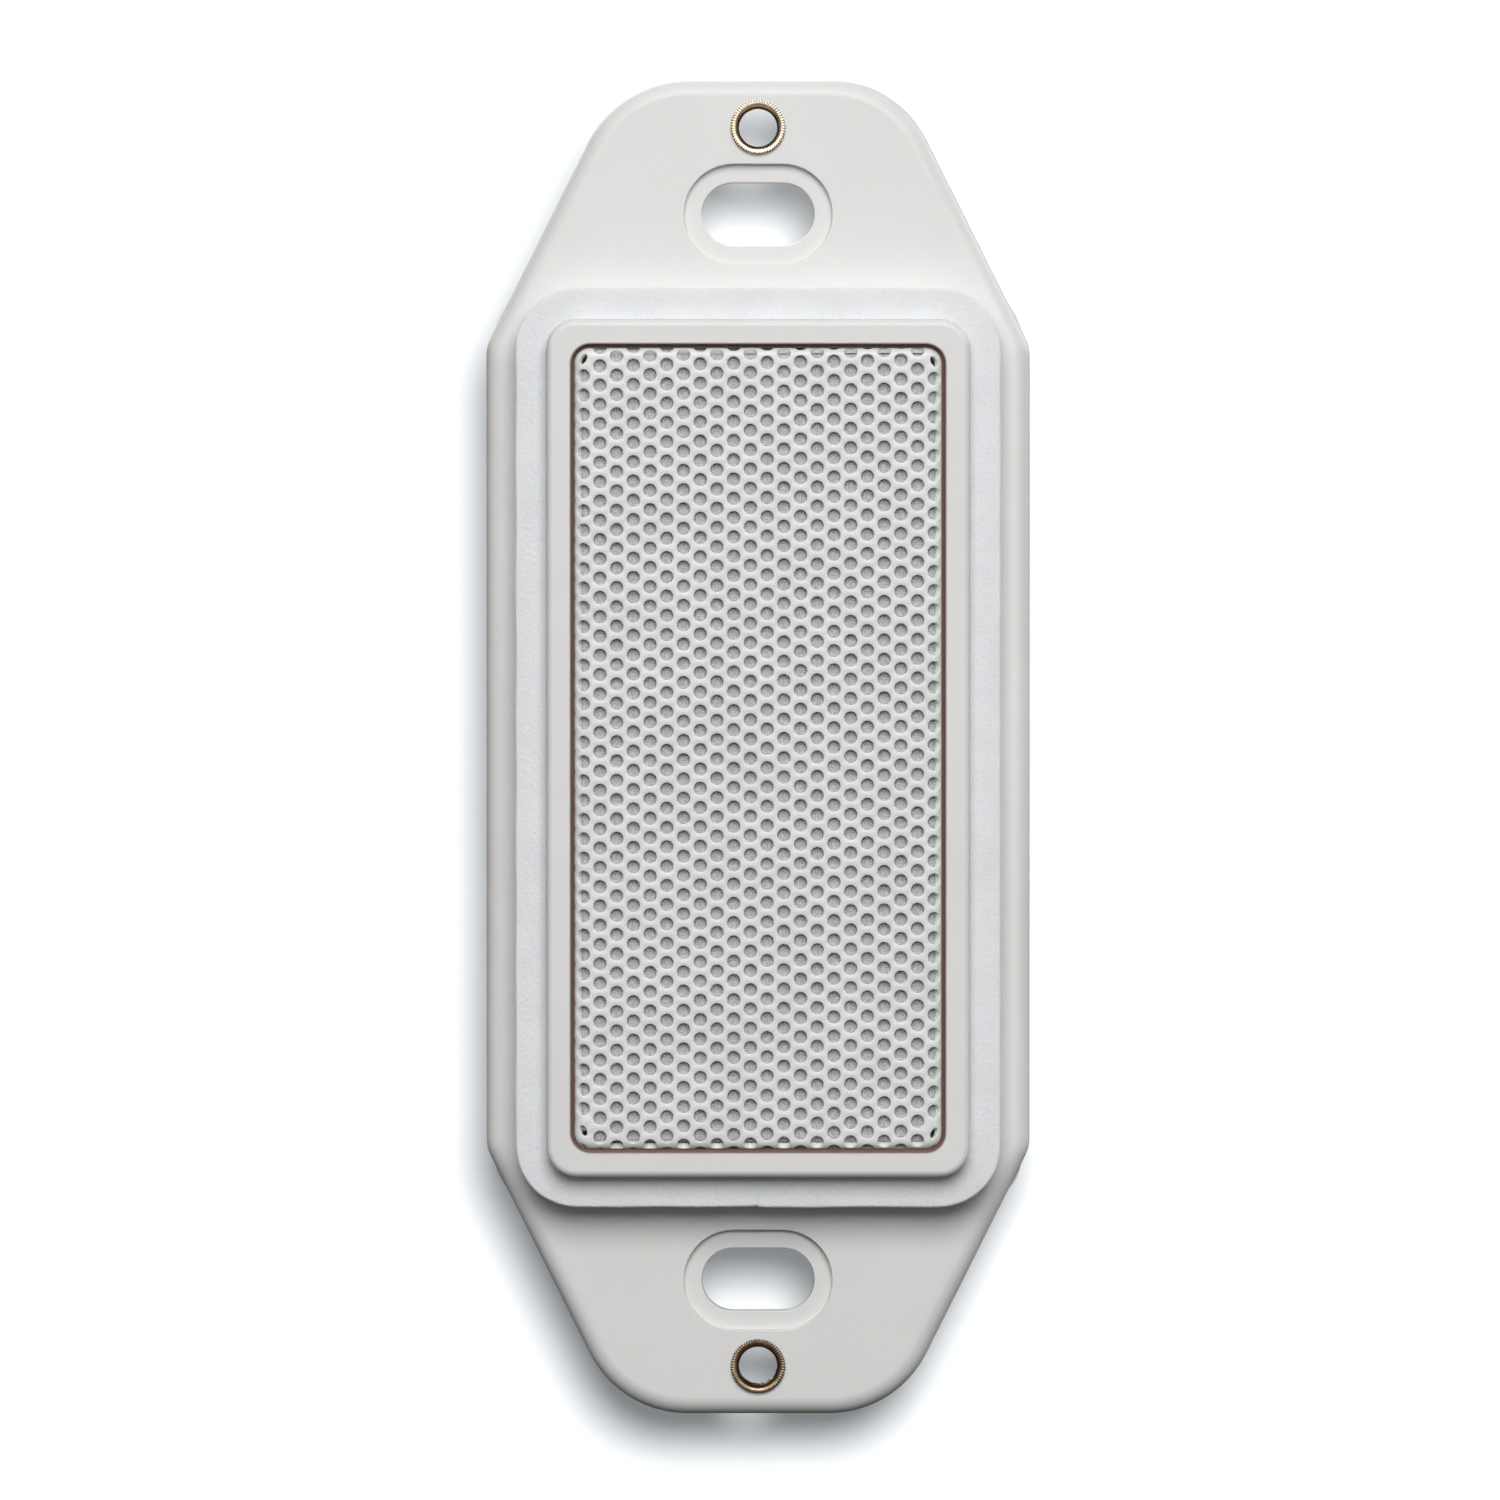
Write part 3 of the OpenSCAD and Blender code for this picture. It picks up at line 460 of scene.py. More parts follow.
def rounded_loop(half_w, half_h, r, corner_steps=8, side_steps=12):
    """Points round a rounded rectangle in XZ, starting at the middle of the bottom and going to +X."""
    r = max(r, 0.02 * MM)
    points = []
    corners = ((1, -1, -90), (1, 1, 0), (-1, 1, 90), (-1, -1, 180))
    for k, (sx, sz, start) in enumerate(corners):
        centre = (sx * (half_w - r), sz * (half_h - r))
        arc = [math.radians(start + 90 * i / corner_steps) for i in range(corner_steps + 1)]
        points += [(centre[0] + r * math.cos(a), centre[1] + r * math.sin(a)) for a in arc]
        next_sx, next_sz, next_start = corners[(k + 1) % 4]
        a = math.radians(next_start)
        end = (next_sx * (half_w - r) + r * math.cos(a), next_sz * (half_h - r) + r * math.sin(a))
        begin = points[-1]
        for i in range(1, side_steps):
            share = i / side_steps
            points.append((begin[0] + (end[0] - begin[0]) * share, begin[1] + (end[1] - begin[1]) * share))
    # Start at the middle of the bottom side
    shift = len(points) - side_steps // 2
    return points[shift:] + points[:shift]


def loft(loops, closed_path=True):
    """Quads between equal loops, the last loop joined to the first. Returns the points and the faces."""
    count = len(loops[0])
    points = [p for loop in loops for p in loop]
    sections = len(loops)
    steps = count if closed_path else count - 1
    faces = [
        (s * count + i, s * count + (i + 1) % count,
         (s + 1) % len(loops) * count + (i + 1) % count, (s + 1) % len(loops) * count + i)
        for s in range(sections) for i in range(steps)
    ]
    if not closed_path:
        faces.append(tuple(s * count for s in range(len(loops))))
        faces.append(tuple(s * count + count - 1 for s in reversed(range(len(loops)))))
    return points, faces


def arc(centre, r, start_deg, end_deg, steps):
    """Points on a circle arc in a section plane."""
    angles = [math.radians(start_deg + (end_deg - start_deg) * i / steps) for i in range(steps + 1)]
    return [(centre[0] + r * math.cos(a), centre[1] + r * math.sin(a)) for a in angles]


def convex_corner(edge):
    """True for an outside edge that bends by more than 30 degrees."""
    return len(edge.link_faces) == 2 and edge.is_convex and edge.calc_face_angle() > math.radians(30)


def rounded_mesh(source, rules, held_back):
    """The source mesh with its convex edges rounded, and the share of its volume that is left.

    Held back, the widths shrink until no two roundings can meet.
    """
    bm = bmesh.new()
    bm.from_mesh(source)
    bmesh.ops.remove_doubles(bm, verts=bm.verts, dist=2e-6)
    bmesh.ops.dissolve_limit(bm, angle_limit=math.radians(0.4), verts=bm.verts, edges=bm.edges)
    whole = bm.calc_volume()
    for test, radius_mm, steps in rules:
        chosen = [e for e in bm.edges
                  if convex_corner(e) and test((e.verts[0].co + e.verts[1].co) / 2 / MM)]
        if chosen:
            bmesh.ops.bevel(bm, geom=chosen, offset=radius_mm * MM, offset_type="OFFSET", segments=steps,
                            profile=0.5, affect="EDGES", clamp_overlap=held_back, loop_slide=True)
    return bm, bm.calc_volume() / whole


def box_of(points):
    """Lowest and highest X, then Y, then Z."""
    return [f(p[k] for p in points) for k in range(3) for f in (min, max)]


def stays_inside(bm, source, slack=2e-6):
    """True when the rounded mesh has not grown out of the source's box."""
    new, old = box_of([v.co for v in bm.verts]), box_of([v.co for v in source.vertices])
    return all(abs(a - b) < 5e-5 for a, b in zip(new, old)) and all(
        (a > b - slack) if i % 2 == 0 else (a < b + slack) for i, (a, b) in enumerate(zip(new, old)))


def rounded_copy(node, rules, finish_name, body=SPEAKER, sharp_deg=35.0):
    """A copy of a CAD node with its convex edges rounded, standing for the node.

    Each rule is (test on an edge's middle, radius in mm, steps), and they are applied in order.
    """
    source = NODES[node].data
    bm, left = rounded_mesh(source, rules, held_back=False)
    # Full roundings that break the mesh or leave its box are made again, held back
    if not (0.8 < left < 1.0001 and stays_inside(bm, source)):
        bm.free()
        bm, left = rounded_mesh(source, rules, held_back=True)
    mesh = bpy.data.meshes.new(node)
    bm.to_mesh(mesh)
    bm.free()
    obj = bpy.data.objects.new(node + "_rounded", mesh)
    bpy.context.scene.collection.objects.link(obj)
    dress(obj, finish_name, body, sharp_deg)
    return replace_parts(obj, node)


# ---- Frame -------------------------------------------------------------------------------------

STRAP_FRONT = -3.0
BEZEL_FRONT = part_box("mounting_frame")[0].y / MM
SLOT_Z = 41.67
# How close to a plane an edge's middle lies to count as on it
ON_PLANE = 0.02


# Each test below takes the middle of an edge in mm

def on_strap_outline(p):
    """The strap's front outline: its straight sides, its ends and its slanted shoulders."""
    at_rim = abs(p.x) > 20 or abs(p.z) > 50.5 or abs(p.x) + abs(p.z) / 2 > 34
    return abs(p.y - STRAP_FRONT) < ON_PLANE and at_rim


def on_bezel_front(p):
    return abs(p.y - BEZEL_FRONT) < ON_PLANE


def on_window_edge(p):
    return on_bezel_front(p) and abs(p.x) < 15 and abs(p.z) < 32


def on_slot_recess(p):
    return abs(p.y - STRAP_FRONT) < 0.8 and abs(p.x) < 7 and abs(abs(p.z) - SLOT_Z) < 4.5


def on_strap_back(p):
    return p.y > -0.05 and (abs(p.x) > 20.8 or abs(p.z) > 36)


def anywhere(p):
    return True


rounded_copy("mounting_frame", [
    (on_strap_outline, 1.35, 6),
    (on_window_edge, 0.14, 3),
    (on_bezel_front, 0.5, 4),
    (on_slot_recess, 0.12, 2),
    (on_strap_back, 0.22, 2),
], "frame_plastic")


# ---- Plate-screw inserts -----------------------------------------------------------------------

def knurled_insert(name, z_mm):
    """A brass insert with a knurled wall, a bevelled rim and a threaded bore."""
    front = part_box("plate_screw_inserts")[0].y / MM
    teeth = 60
    around = teeth * 4
    thread_pitch = 0.79
    thread_depth = 0.22
    wall_r = 2.15
    knurl = 0.2
    rim_r = 0.05
    bore_r = 1.5
    #        radius, depth, height of the knurl there
    section = [(wall_r, 0.0, knurl), (wall_r, front + 0.2, knurl), (wall_r, front + rim_r, knurl)]
    section += [(r, y, knurl) for r, y in arc((wall_r - rim_r, front + rim_r), rim_r, 0, -90, 3)]
    countersink = ((0.28, 0.004), (0.23, 0.03), (0.04, 0.36))
    section += [(bore_r + wider, front + deeper, 0.0) for wider, deeper in countersink]
    thread_start = front + 0.4
    turns = 34
    for i in range(turns + 1):
        section.append((bore_r, thread_start + (-0.12 - thread_start) * i / turns, -1.0))
    section += [(bore_r + 0.12, 0.0, 0.0)]
    loops = []
    for r, y, ridge in section:
        loop = []
        for i in range(around):
            a = 2 * math.pi * i / around
            radius = r
            if ridge > 0:
                radius -= ridge * (0.5 - 0.5 * math.cos(teeth * a)) ** 2
            if ridge < 0:
                turn = (y - thread_start) / thread_pitch - a / (2 * math.pi)
                fade = min(1.0, (y - thread_start) / 0.35)
                radius += fade * thread_depth * abs(2 * (turn % 1.0) - 1)
            loop.append((radius * math.cos(a) * MM, y * MM, (z_mm + radius * math.sin(a)) * MM))
        loops.append(loop)
    points, faces = loft(loops)
    return make_piece(name, points, faces, "insert_brass", sharp_deg=50)


INSERT_Z = 48.42
upper_insert = knurled_insert("upper_plate_screw_insert", INSERT_Z)
lower_insert = knurled_insert("lower_plate_screw_insert", -INSERT_Z)
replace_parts(upper_insert, "plate_screw_inserts")
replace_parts(lower_insert, "plate_screw_inserts")


# ---- Foam wall plate gasket --------------------------------------------------------------------

def wobble(x, z, size_mm, seed):
    """A smooth waver between about -1 and 1, the same on each run."""
    k = 2 * math.pi / size_mm
    return (math.sin(k * x * 1.13 + seed) * math.cos(k * z * 0.91 - seed * 1.7)
            + 0.5 * math.sin(k * 2.3 * z + seed * 0.6) * math.cos(k * 1.9 * x + seed)) / 1.5


def foam_gasket():
    """Closed-cell foam strip round the bezel, unevenly cut, with a butt joint at the bottom."""
    low, high = (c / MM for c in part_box("wall_plate_gasket"))
    inner_half_w, inner_half_h, inner_r = 16.46, 33.36, 2.32
    outer = high.x - inner_half_w
    front, back = low.y, high.y
    edge_r = 0.22
    section = []
    section += arc((outer - edge_r, front + edge_r), edge_r, 0, -90, 5)
    section += [(outer * 0.66, front), (outer * 0.33, front)]
    section += arc((0.1, front + 0.1), 0.1, -90, -180, 3)
    section += [(0.0, back), (outer * 0.5, back), (outer - 0.15, back), (outer, back - 0.15)]
    section += [(outer, back - (back - front) * k) for k in (0.3, 0.5, 0.7)]
    joint_half_gap = 0.004
    loops = []
    for offset, y in section:
        ring = rounded_loop(inner_half_w + offset, inner_half_h + offset, inner_r + offset, 14, 40)
        loop = []
        for x, z in ring:
            share = offset / outer
            near_joint = max(0.0, 1 - abs(x) / 6) if z < 0 else 0.0
            side = 1 if x > 0 else -1
            inward = 0.07 * share * (0.5 + 0.5 * wobble(x, z, 9, 1.0))
            z_in = inward if z > 0 else -inward
            x_in = inward if x > 0 else -inward
            step = -0.05 * side * near_joint * share
            sag = 0.03 * (1 + wobble(x, z, 6, 2.3)) if y < front + 0.2 else 0.0
            gap = joint_half_gap * side * max(0.0, 1 - abs(x) / 0.6) if z < 0 else 0.0
            loop.append(((x - x_in * (abs(x) > 15) + gap) * MM, (y + sag) * MM,
                         (z - z_in * (abs(z) > 32) + step) * MM))
        loops.append(loop)
    # Open the ring at the bottom: the last place is a copy of the first, across the joint
    for loop in loops:
        x, y, z = loop[0]
        step = 0.05 * MM
        loop[0] = (joint_half_gap * MM, y, z - step)
        loop.append((-joint_half_gap * MM, y, z + step))
    points, faces = loft(loops, closed_path=False)
    piece = make_piece("wall_plate_gasket_foam", points, faces, "gasket_foam", sharp_deg=50)
    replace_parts(piece, "wall_plate_gasket")
    return piece


foam_gasket()


# ---- Grille ------------------------------------------------------------------------------------

GRILLE_LOW, GRILLE_HIGH = (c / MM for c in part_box("grille"))
GRILLE_HALF_W = GRILLE_HIGH.x
GRILLE_HALF_H = GRILLE_HIGH.z
GRILLE_R = 1.3
FOLD_R = 0.75
SHEET_T = 0.5
HOLE_R = 0.5
HOLE_PITCH = 1.5
COLUMN_PITCH = 1.3
HOLE_ORIGIN = (0.05, 0.36)
ROW_TILT = 0.02
SLIT_DROP = 0.2


def core_distance(u, v, inset):
    """For points of the flat sheet: the nearest point of the flat part, the way out, and how far out."""
    half_w, half_h = GRILLE_HALF_W - inset, GRILLE_HALF_H - inset
    r = max(GRILLE_R - inset, 0.05)
    cu = np.clip(u, -(half_w - r), half_w - r)
    cv = np.clip(v, -(half_h - r), half_h - r)
    du, dv = u - cu, v - cv
    away = np.hypot(du, dv)
    safe = np.maximum(away, 1e-9)
    nu, nv = du / safe, dv / safe
    return cu + nu * r, cv + nv * r, nu, nv, away - r


def folded(flat, depth):
    """Bends the flat sheet's points round the tray's edge; depth is how far below the face a point lies."""
    u, v = flat[:, 0], flat[:, 1]
    edge_u, edge_v, nu, nv, out = core_distance(u, v, FOLD_R)
    bend = math.pi / 2
    angle = np.clip(out / FOLD_R, 0, bend)
    r = FOLD_R - depth
    x = np.where(out > 0, edge_u + nu * r * np.sin(angle), u)
    z = np.where(out > 0, edge_v + nv * r * np.sin(angle), v)
    y = np.where(out > 0, FOLD_R - r * np.cos(angle) + np.maximum(out - FOLD_R * bend, 0), depth)
    return np.column_stack([x * MM, (GRILLE_LOW.y + y) * MM, z * MM])


def in_corner(u, v):
    """True where the sheet folds two ways at once."""
    return abs(u) > GRILLE_HALF_W - GRILLE_R and abs(v) > GRILLE_HALF_H - GRILLE_R - 0.7


def hole_shape(u, v):
    """Half length, half width and turn of the hole at a place: folding squeezes corner holes to slits."""
    if in_corner(u, v):
        return 0.44, 0.25, math.radians(-60 if u * v > 0 else 60)
    return HOLE_R, HOLE_R, 0.0


def perforated_grille():
    """Perforated sheet with folded edges, punched while flat, so holes near an edge bend with it."""
    flange = GRILLE_HIGH.y - GRILLE_LOW.y - FOLD_R
    flat_edge = FOLD_R * math.pi / 2 + flange
    around = 20
    #          widening, depth below the face
    rim = [(0.075, 0.0), (0.03, 0.02), (0.0, 0.08), (0.0, SHEET_T)]
    holes = []
    for column in range(-1, 23):
        for row in range(-1, 42):
            x = (column - 10.5) * COLUMN_PITCH
            half_step = HOLE_PITCH / 4 if column % 2 == 0 else -HOLE_PITCH / 4
            u = x + HOLE_ORIGIN[0]
            v = (row - 20) * HOLE_PITCH + half_step + x * ROW_TILT + HOLE_ORIGIN[1]
            out = core_distance(np.array([u]), np.array([v]), FOLD_R)[4][0]
            if out + HOLE_R + 0.12 < flat_edge and not (abs(u) > 14.3 and abs(v) > 30):
                holes.append((u, v - SLIT_DROP if in_corner(u, v) else v))
    turns = np.arange(around) * 2 * math.pi / around
    rings = []
    for widen, depth in rim:
        ring = []
        for u, v in holes:
            half_len, half_wide, tilt = hole_shape(u, v)
            a, b = half_len + widen, half_wide + widen
            ru, rv = a * np.cos(turns), b * np.sin(turns)
            ring.append(np.column_stack([u + ru * math.cos(tilt) - rv * math.sin(tilt),
                                         v + ru * math.sin(tilt) + rv * math.cos(tilt)]))
        rings.append((np.vstack(ring), depth))
    # The sheet's own edge, and fine points over the fold to carry its curve
    border = []
    for step in range(12):
        # The last ring lies just inside the start of the fold
        reach = flat_edge * (1 - step / 11) if step < 11 else -0.02
        half_w, half_h = GRILLE_HALF_W - FOLD_R + reach, GRILLE_HALF_H - FOLD_R + reach
        ring = rounded_loop(half_w, half_h, GRILLE_R - FOLD_R + reach, 14 - step // 2, 60)
        border.append(np.array(ring))
    edge = border[0]
    extra = np.vstack(border[1:] + [fold_points(flat_edge)])
    centres = np.array(holes)
    keep = []
    for p in extra:
        near = centres[np.hypot(*(centres - p).T) < 1.0]
        if all(np.hypot(*(c - p)) > HOLE_R + 0.075 + 0.05 for c in near):
            keep.append(p)
    extra = np.array(keep)
    face_ring = rings[0][0]
    flat = np.vstack([edge, face_ring, extra])
    n_edge, n_ring = len(edge), len(face_ring)
    lines = [(i, (i + 1) % n_edge) for i in range(n_edge)]
    for h in range(len(holes)):
        base = n_edge + h * around
        lines += [(base + i, base + (i + 1) % around) for i in range(around)]
    found = geometry.delaunay_2d_cdt([Vector(p) for p in flat], lines, [], 1, 1e-6)
    if len(found[0]) != len(flat):
        raise RuntimeError(f"the flat grille crosses itself: {len(found[0])} points from {len(flat)}")
    order = [source[0] for source in found[3]]
    triangles = []
    for tri in found[2]:
        tri = [order[i] for i in tri]
        owners = {(i - n_edge) // around if n_edge <= i < n_edge + n_ring else -1 for i in tri}
        if len(owners) == 1 and -1 not in owners:
            continue
        triangles.append(tri)
    points = [folded(flat, 0.0)]
    faces = [tuple(t) for t in triangles]
    total = len(flat)
    # Walls of the holes, ring by ring down to the back face
    starts = [n_edge]
    for ring, depth in rings[1:]:
        points.append(folded(ring, depth))
        starts.append(total)
        total += len(ring)
    for upper, lower in zip(starts, starts[1:]):
        for h in range(len(holes)):
            for i in range(around):
                j = (i + 1) % around
                k = h * around
                faces.append((upper + k + i, upper + k + j, lower + k + j, lower + k + i))
    # The back face: the same triangles, on the last ring and on copies of the other points
    back_flat = np.vstack([edge, extra])
    points.append(folded(back_flat, SHEET_T))
    back_edge, back_extra, back_ring = total, total + n_edge, starts[-1]

    def behind(i):
        if i < n_edge:
            return back_edge + i
        if i < n_edge + n_ring:
            return back_ring + i - n_edge
        return back_extra + i - n_edge - n_ring

    faces += [tuple(behind(i) for i in reversed(t)) for t in triangles]
    faces += [(i, (i + 1) % n_edge, back_edge + (i + 1) % n_edge, back_edge + i) for i in range(n_edge)]
    piece = make_piece("grille_sheet", np.vstack(points), faces, "grille_paint", sharp_deg=60)
    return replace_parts(piece, "grille")


def fold_points(flat_edge):
    """A close lattice of points over the fold, so that it bends smoothly between its holes."""
    across = 0.17
    along = 0.2
    found = []
    steps = int(flat_edge / across)
    for k in range(1, steps):
        reach = k * across + 0.02
        half_w, half_h = GRILLE_HALF_W - FOLD_R + reach, GRILLE_HALF_H - FOLD_R + reach
        # Every other ring has one step fewer, so that its points fall between its neighbours'
        side_steps = int(2 * half_h / along) - (0 if k % 2 else 1)
        found += rounded_loop(half_w, half_h, GRILLE_R - FOLD_R + reach, 10, side_steps)
    return np.array(found)


perforated_grille()


def gap_shade_bead():
    """A bead filling the gap between the grille's folded edge and the window's wall; the frame finish paints
    it dark brown, as painted shade for the gap.
    """
    fold_back = GRILLE_LOW.y + FOLD_R
    gap = 0.15
    foot = fold_back + 0.5
    loops = []
    for share, drop in ((0.0, 0.0), (0.5, 0.05), (1.0, -0.03)):
        loop = []
        top = GRILLE_LOW.y + 0.36
        into_fold = FOLD_R - math.sqrt(FOLD_R ** 2 - (fold_back - top) ** 2)
        outset = share * (gap + into_fold) - into_fold
        for x, z in rounded_loop(GRILLE_HALF_W + outset, GRILLE_HALF_H + outset, GRILLE_R + outset, 10, 60):
            rise = 0.06 * wobble(x, z, 11, 0.8) + 0.05 * (x > 0)
            loop.append((x * MM, (top + drop - rise) * MM, z * MM))
        loops.append(loop)
    for outset in (gap, 0.01):
        ring = rounded_loop(GRILLE_HALF_W + outset, GRILLE_HALF_H + outset, GRILLE_R + outset, 10, 60)
        loops.append([(x * MM, foot * MM, z * MM) for x, z in ring])
    points, faces = loft(loops)
    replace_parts(make_piece("grille_gap_shade_bead", points, faces, "frame_plastic"), "mounting_frame")


gap_shade_bead()


# ---- Scrim cloth -------------------------------------------------------------------------------

def scrim():
    """Acoustic cloth stretched over the inside of the grille, its corners clipped to clear the tray's."""
    low, high = (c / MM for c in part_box("grille_scrim"))
    cells = 0.45
    columns, rows = int((high.x - low.x) / cells), int((high.z - low.z) / cells)
    points, faces = [], []
    for j in range(rows + 1):
        for i in range(columns + 1):
            x = low.x + (high.x - low.x) * i / columns
            z = low.z + (high.z - low.z) * j / rows
            y = low.y + 0.06 + 0.02 * (1 + wobble(x, z, 7, 0.4))
            points.append((x * MM, y * MM, z * MM))
    for j in range(rows):
        for i in range(columns):
            a = j * (columns + 1) + i
            if min(i, columns - 1 - i) + min(j, rows - 1 - j) > 1:
                faces.append((a, a + 1, a + columns + 2, a + columns + 1))
    piece = make_piece("grille_scrim_cloth", points, faces, "scrim_cloth")
    thick = piece.modifiers.new("cloth", "SOLIDIFY")
    thick.thickness = 0.1 * MM
    thick.offset = 0
    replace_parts(piece, "grille_scrim")
    return piece


scrim()


# ---- Soft seals and padding --------------------------------------------------------------------

def soft_copy(node, edge_mm, finish_name):
    """A foam seal: a rounded copy of its CAD solid."""
    piece = rounded_copy(node, [(anywhere, edge_mm, 3)], finish_name, sharp_deg=60)
    return piece


soft_copy("cover_gasket", 0.14, "seal_foam")
for side in ("upper", "lower"):
    soft_copy(side + "_driver_gasket", 0.14, "seal_foam")


def fleece_pad(name, low, high):
    """A pad of polyester fleece: crowned faces, soft edges and an uneven surface."""
    bm = bmesh.new()
    bmesh.ops.create_cube(bm, size=1)
    bmesh.ops.subdivide_edges(bm, edges=bm.edges, cuts=11, use_grid_fill=True)
    middle = (low + high) / 2
    half = (high - low) / 2
    for vert in bm.verts:
        unit = vert.co * 2
        # Pull the edges and corners in, then waver the faces
        roundness = 8
        norm = sum(abs(c) ** roundness for c in unit) ** (1 / roundness)
        unit = unit / norm * max(abs(c) for c in unit) if norm > 0 else unit
        place = Vector((unit.x * half.x, unit.y * half.y, unit.z * half.z))
        dent = 1 - 0.05 * (1 + wobble(place.x, place.z, 6, 1.9))
        vert.co = (middle + Vector((place.x * dent, place.y * (dent - 0.02), place.z * dent))) * MM
    mesh = bpy.data.meshes.new(name)
    bm.to_mesh(mesh)
    bm.free()
    pad = bpy.data.objects.new(name, mesh)
    bpy.context.scene.collection.objects.link(pad)
    dress(pad, "damping_fleece", SPEAKER, 180)
    pad.modifiers.new("soft", "SUBSURF").levels = 1
    pad.modifiers["soft"].render_levels = 1
    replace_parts(pad, "damping_pads")
    return pad


pads_low, pads_high = (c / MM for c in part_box("damping_pads"))
PAD_INNER_Z = 9.0
fleece_pad("upper_damping_pad", Vector((pads_low.x, pads_low.y, PAD_INNER_Z)), pads_high)
fleece_pad("lower_damping_pad", pads_low, Vector((pads_high.x, pads_high.y, -PAD_INNER_Z)))


# ---- Rear cover and hardware -------------------------------------------------------------------

COVER_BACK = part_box("rear_cover")[1].y / MM
COVER_HALF_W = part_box("rear_cover")[1].x / MM
COVER_HALF_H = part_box("rear_cover")[1].z / MM
BLOCK_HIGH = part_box("terminal_block")[1] / MM


# Where the cover's four screws are, and a little more than the radius of their wells
COVER_SCREW_X = 16.3
COVER_SCREW_Z = 31.6
WELL_REACH = 2.6


def in_screw_well(p):
    return math.hypot(abs(p.x) - COVER_SCREW_X, abs(p.z) - COVER_SCREW_Z) < WELL_REACH


def on_cover_outline(p):
    at_rim = abs(p.x) > COVER_HALF_W - 3.6 or abs(p.z) > COVER_HALF_H - 3.6
    return abs(p.y - COVER_BACK) < ON_PLANE and at_rim and not in_screw_well(p)


def on_well_rim(p):
    return abs(p.y - COVER_BACK) < ON_PLANE and in_screw_well(p)


def on_cover_back(p):
    return p.y > COVER_BACK - 0.6


def on_block_outside(p):
    at_back_or_side = abs(p.y - BLOCK_HIGH.y) < ON_PLANE or abs(p.x) > BLOCK_HIGH.x - ON_PLANE
    return at_back_or_side and p.y > COVER_BACK - 2


rounded_copy("rear_cover", [
    (on_cover_outline, 0.8, 5),
    (on_well_rim, 0.2, 3),
    (on_cover_back, 0.13, 2),
], "cover_plastic")
rounded_copy("terminal_block", [(on_block_outside, 0.28, 3), (anywhere, 0.08, 2)], "block_plastic")

HARDWARE = {
    # node: finish, edge radius in mm
    "cover_screws": ("zinc_steel", 0.1), "driver_screws": ("zinc_steel", 0.1),
    "board_screws": ("zinc_steel", 0.08), "connection_board": ("circuit_board", 0.08),
    "crossover_capacitor": ("capacitor_sleeve", 0.4), "terminal_contacts": ("tinned_metal", 0.08),
}
for node, (finish_name, edge_mm) in HARDWARE.items():
    rounded_copy(node, [(anywhere, edge_mm, 3)], finish_name)

for side in ("left", "right"):
    rounded_copy(side + "_terminal_screw", [(anywhere, 0.1, 3)], "zinc_steel", body=side + "_screw")
    rounded_copy(side + "_wire_clamp", [(anywhere, 0.07, 3)], "zinc_steel", body=side + "_clamp")

DRIVER_PARTS = {
    "surround": ("surround_rubber", 0.06, SPEAKER), "basket": ("basket_steel", 0.12, SPEAKER),
    "top_plate": ("zinc_steel", 0.12, SPEAKER), "magnet": ("ferrite", 0.3, SPEAKER),
    "yoke": ("zinc_steel", 0.2, SPEAKER), "terminal_board": ("fibre_board", 0.08, SPEAKER),
    "solder_tabs": ("tinned_metal", 0.06, SPEAKER), "cone": ("cone_plastic", 0.06, "diaphragm"),
    "dust_cap": ("cone_plastic", 0.06, "diaphragm"), "voice_coil": ("coil_copper", 0.04, "diaphragm"),
}
for side in ("upper", "lower"):
    for part, (finish_name, edge_mm, body) in DRIVER_PARTS.items():
        moving = f"{side}_{body}" if body == "diaphragm" else body
        rounded_copy(f"{side}_{part}", [(anywhere, edge_mm, 2)], finish_name, body=moving)
    leads = rounded_copy(side + "_driver_leads", [], "lead_insulation", sharp_deg=180)
    leads.modifiers.new("round", "SUBSURF").render_levels = 1
    leads.modifiers["round"].levels = 1


# ---- Stage -------------------------------------------------------------------------------------

def stage_plane(name, corners, material):
    """A flat sheet of the stage through four corners in mm."""
    mesh = bpy.data.meshes.new(name)
    mesh.from_pydata([Vector(c) * MM for c in corners], [], [(0, 1, 2, 3)])
    plane = bpy.data.objects.new(name, mesh)
    bpy.context.scene.collection.objects.link(plane)
    mesh.materials.append(material)
    return plane


def plain_pale(name, colour):
    """A matt, faintly clouded surface."""
    nodes = Nodes(name)
    cloud = nodes.noise(90, detail=2)
    nodes.colour(nodes.tones(nodes.spread(cloud, 0.3, 0.7), colour, tuple(c * 1.02 for c in colour)))
    nodes.set(Roughness=0.9, Specular_IOR_Level=0.1)
    return nodes


FLOOR_Z = -62.0
FLOOR_HALF = 3000
# The backdrop is turned a little, so that a camera at the object's right side sees its clear back
BACKDROP_Y = 26.8
BACKDROP_HALF = 110.0
BACKDROP_TURN = 0.07
floor_nodes = plain_pale("floor_pale", (0.50, 0.50, 0.50))
# The lamps only reach the floor near the object, so its own glow rises with distance
distance = floor_nodes.add("ShaderNodeVectorMath", operation="LENGTH")
floor_nodes.link(floor_nodes.place, distance.inputs[0])
floor_nodes.link(floor_nodes.spread(distance.outputs["Value"], 0.3, 1.6, 0.62, 1.0),
                 floor_nodes.shader.inputs["Emission Strength"])
floor_nodes.set(Emission_Color=(1.0, 1.0, 1.0))
floor_corners = [(sx * FLOOR_HALF, sy * FLOOR_HALF, FLOOR_Z)
                 for sx, sy in ((-1, -1), (1, -1), (1, 1), (-1, 1))]
floor = stage_plane("floor", floor_corners, floor_nodes.material)
floor.visible_diffuse = False
floor.visible_glossy = False

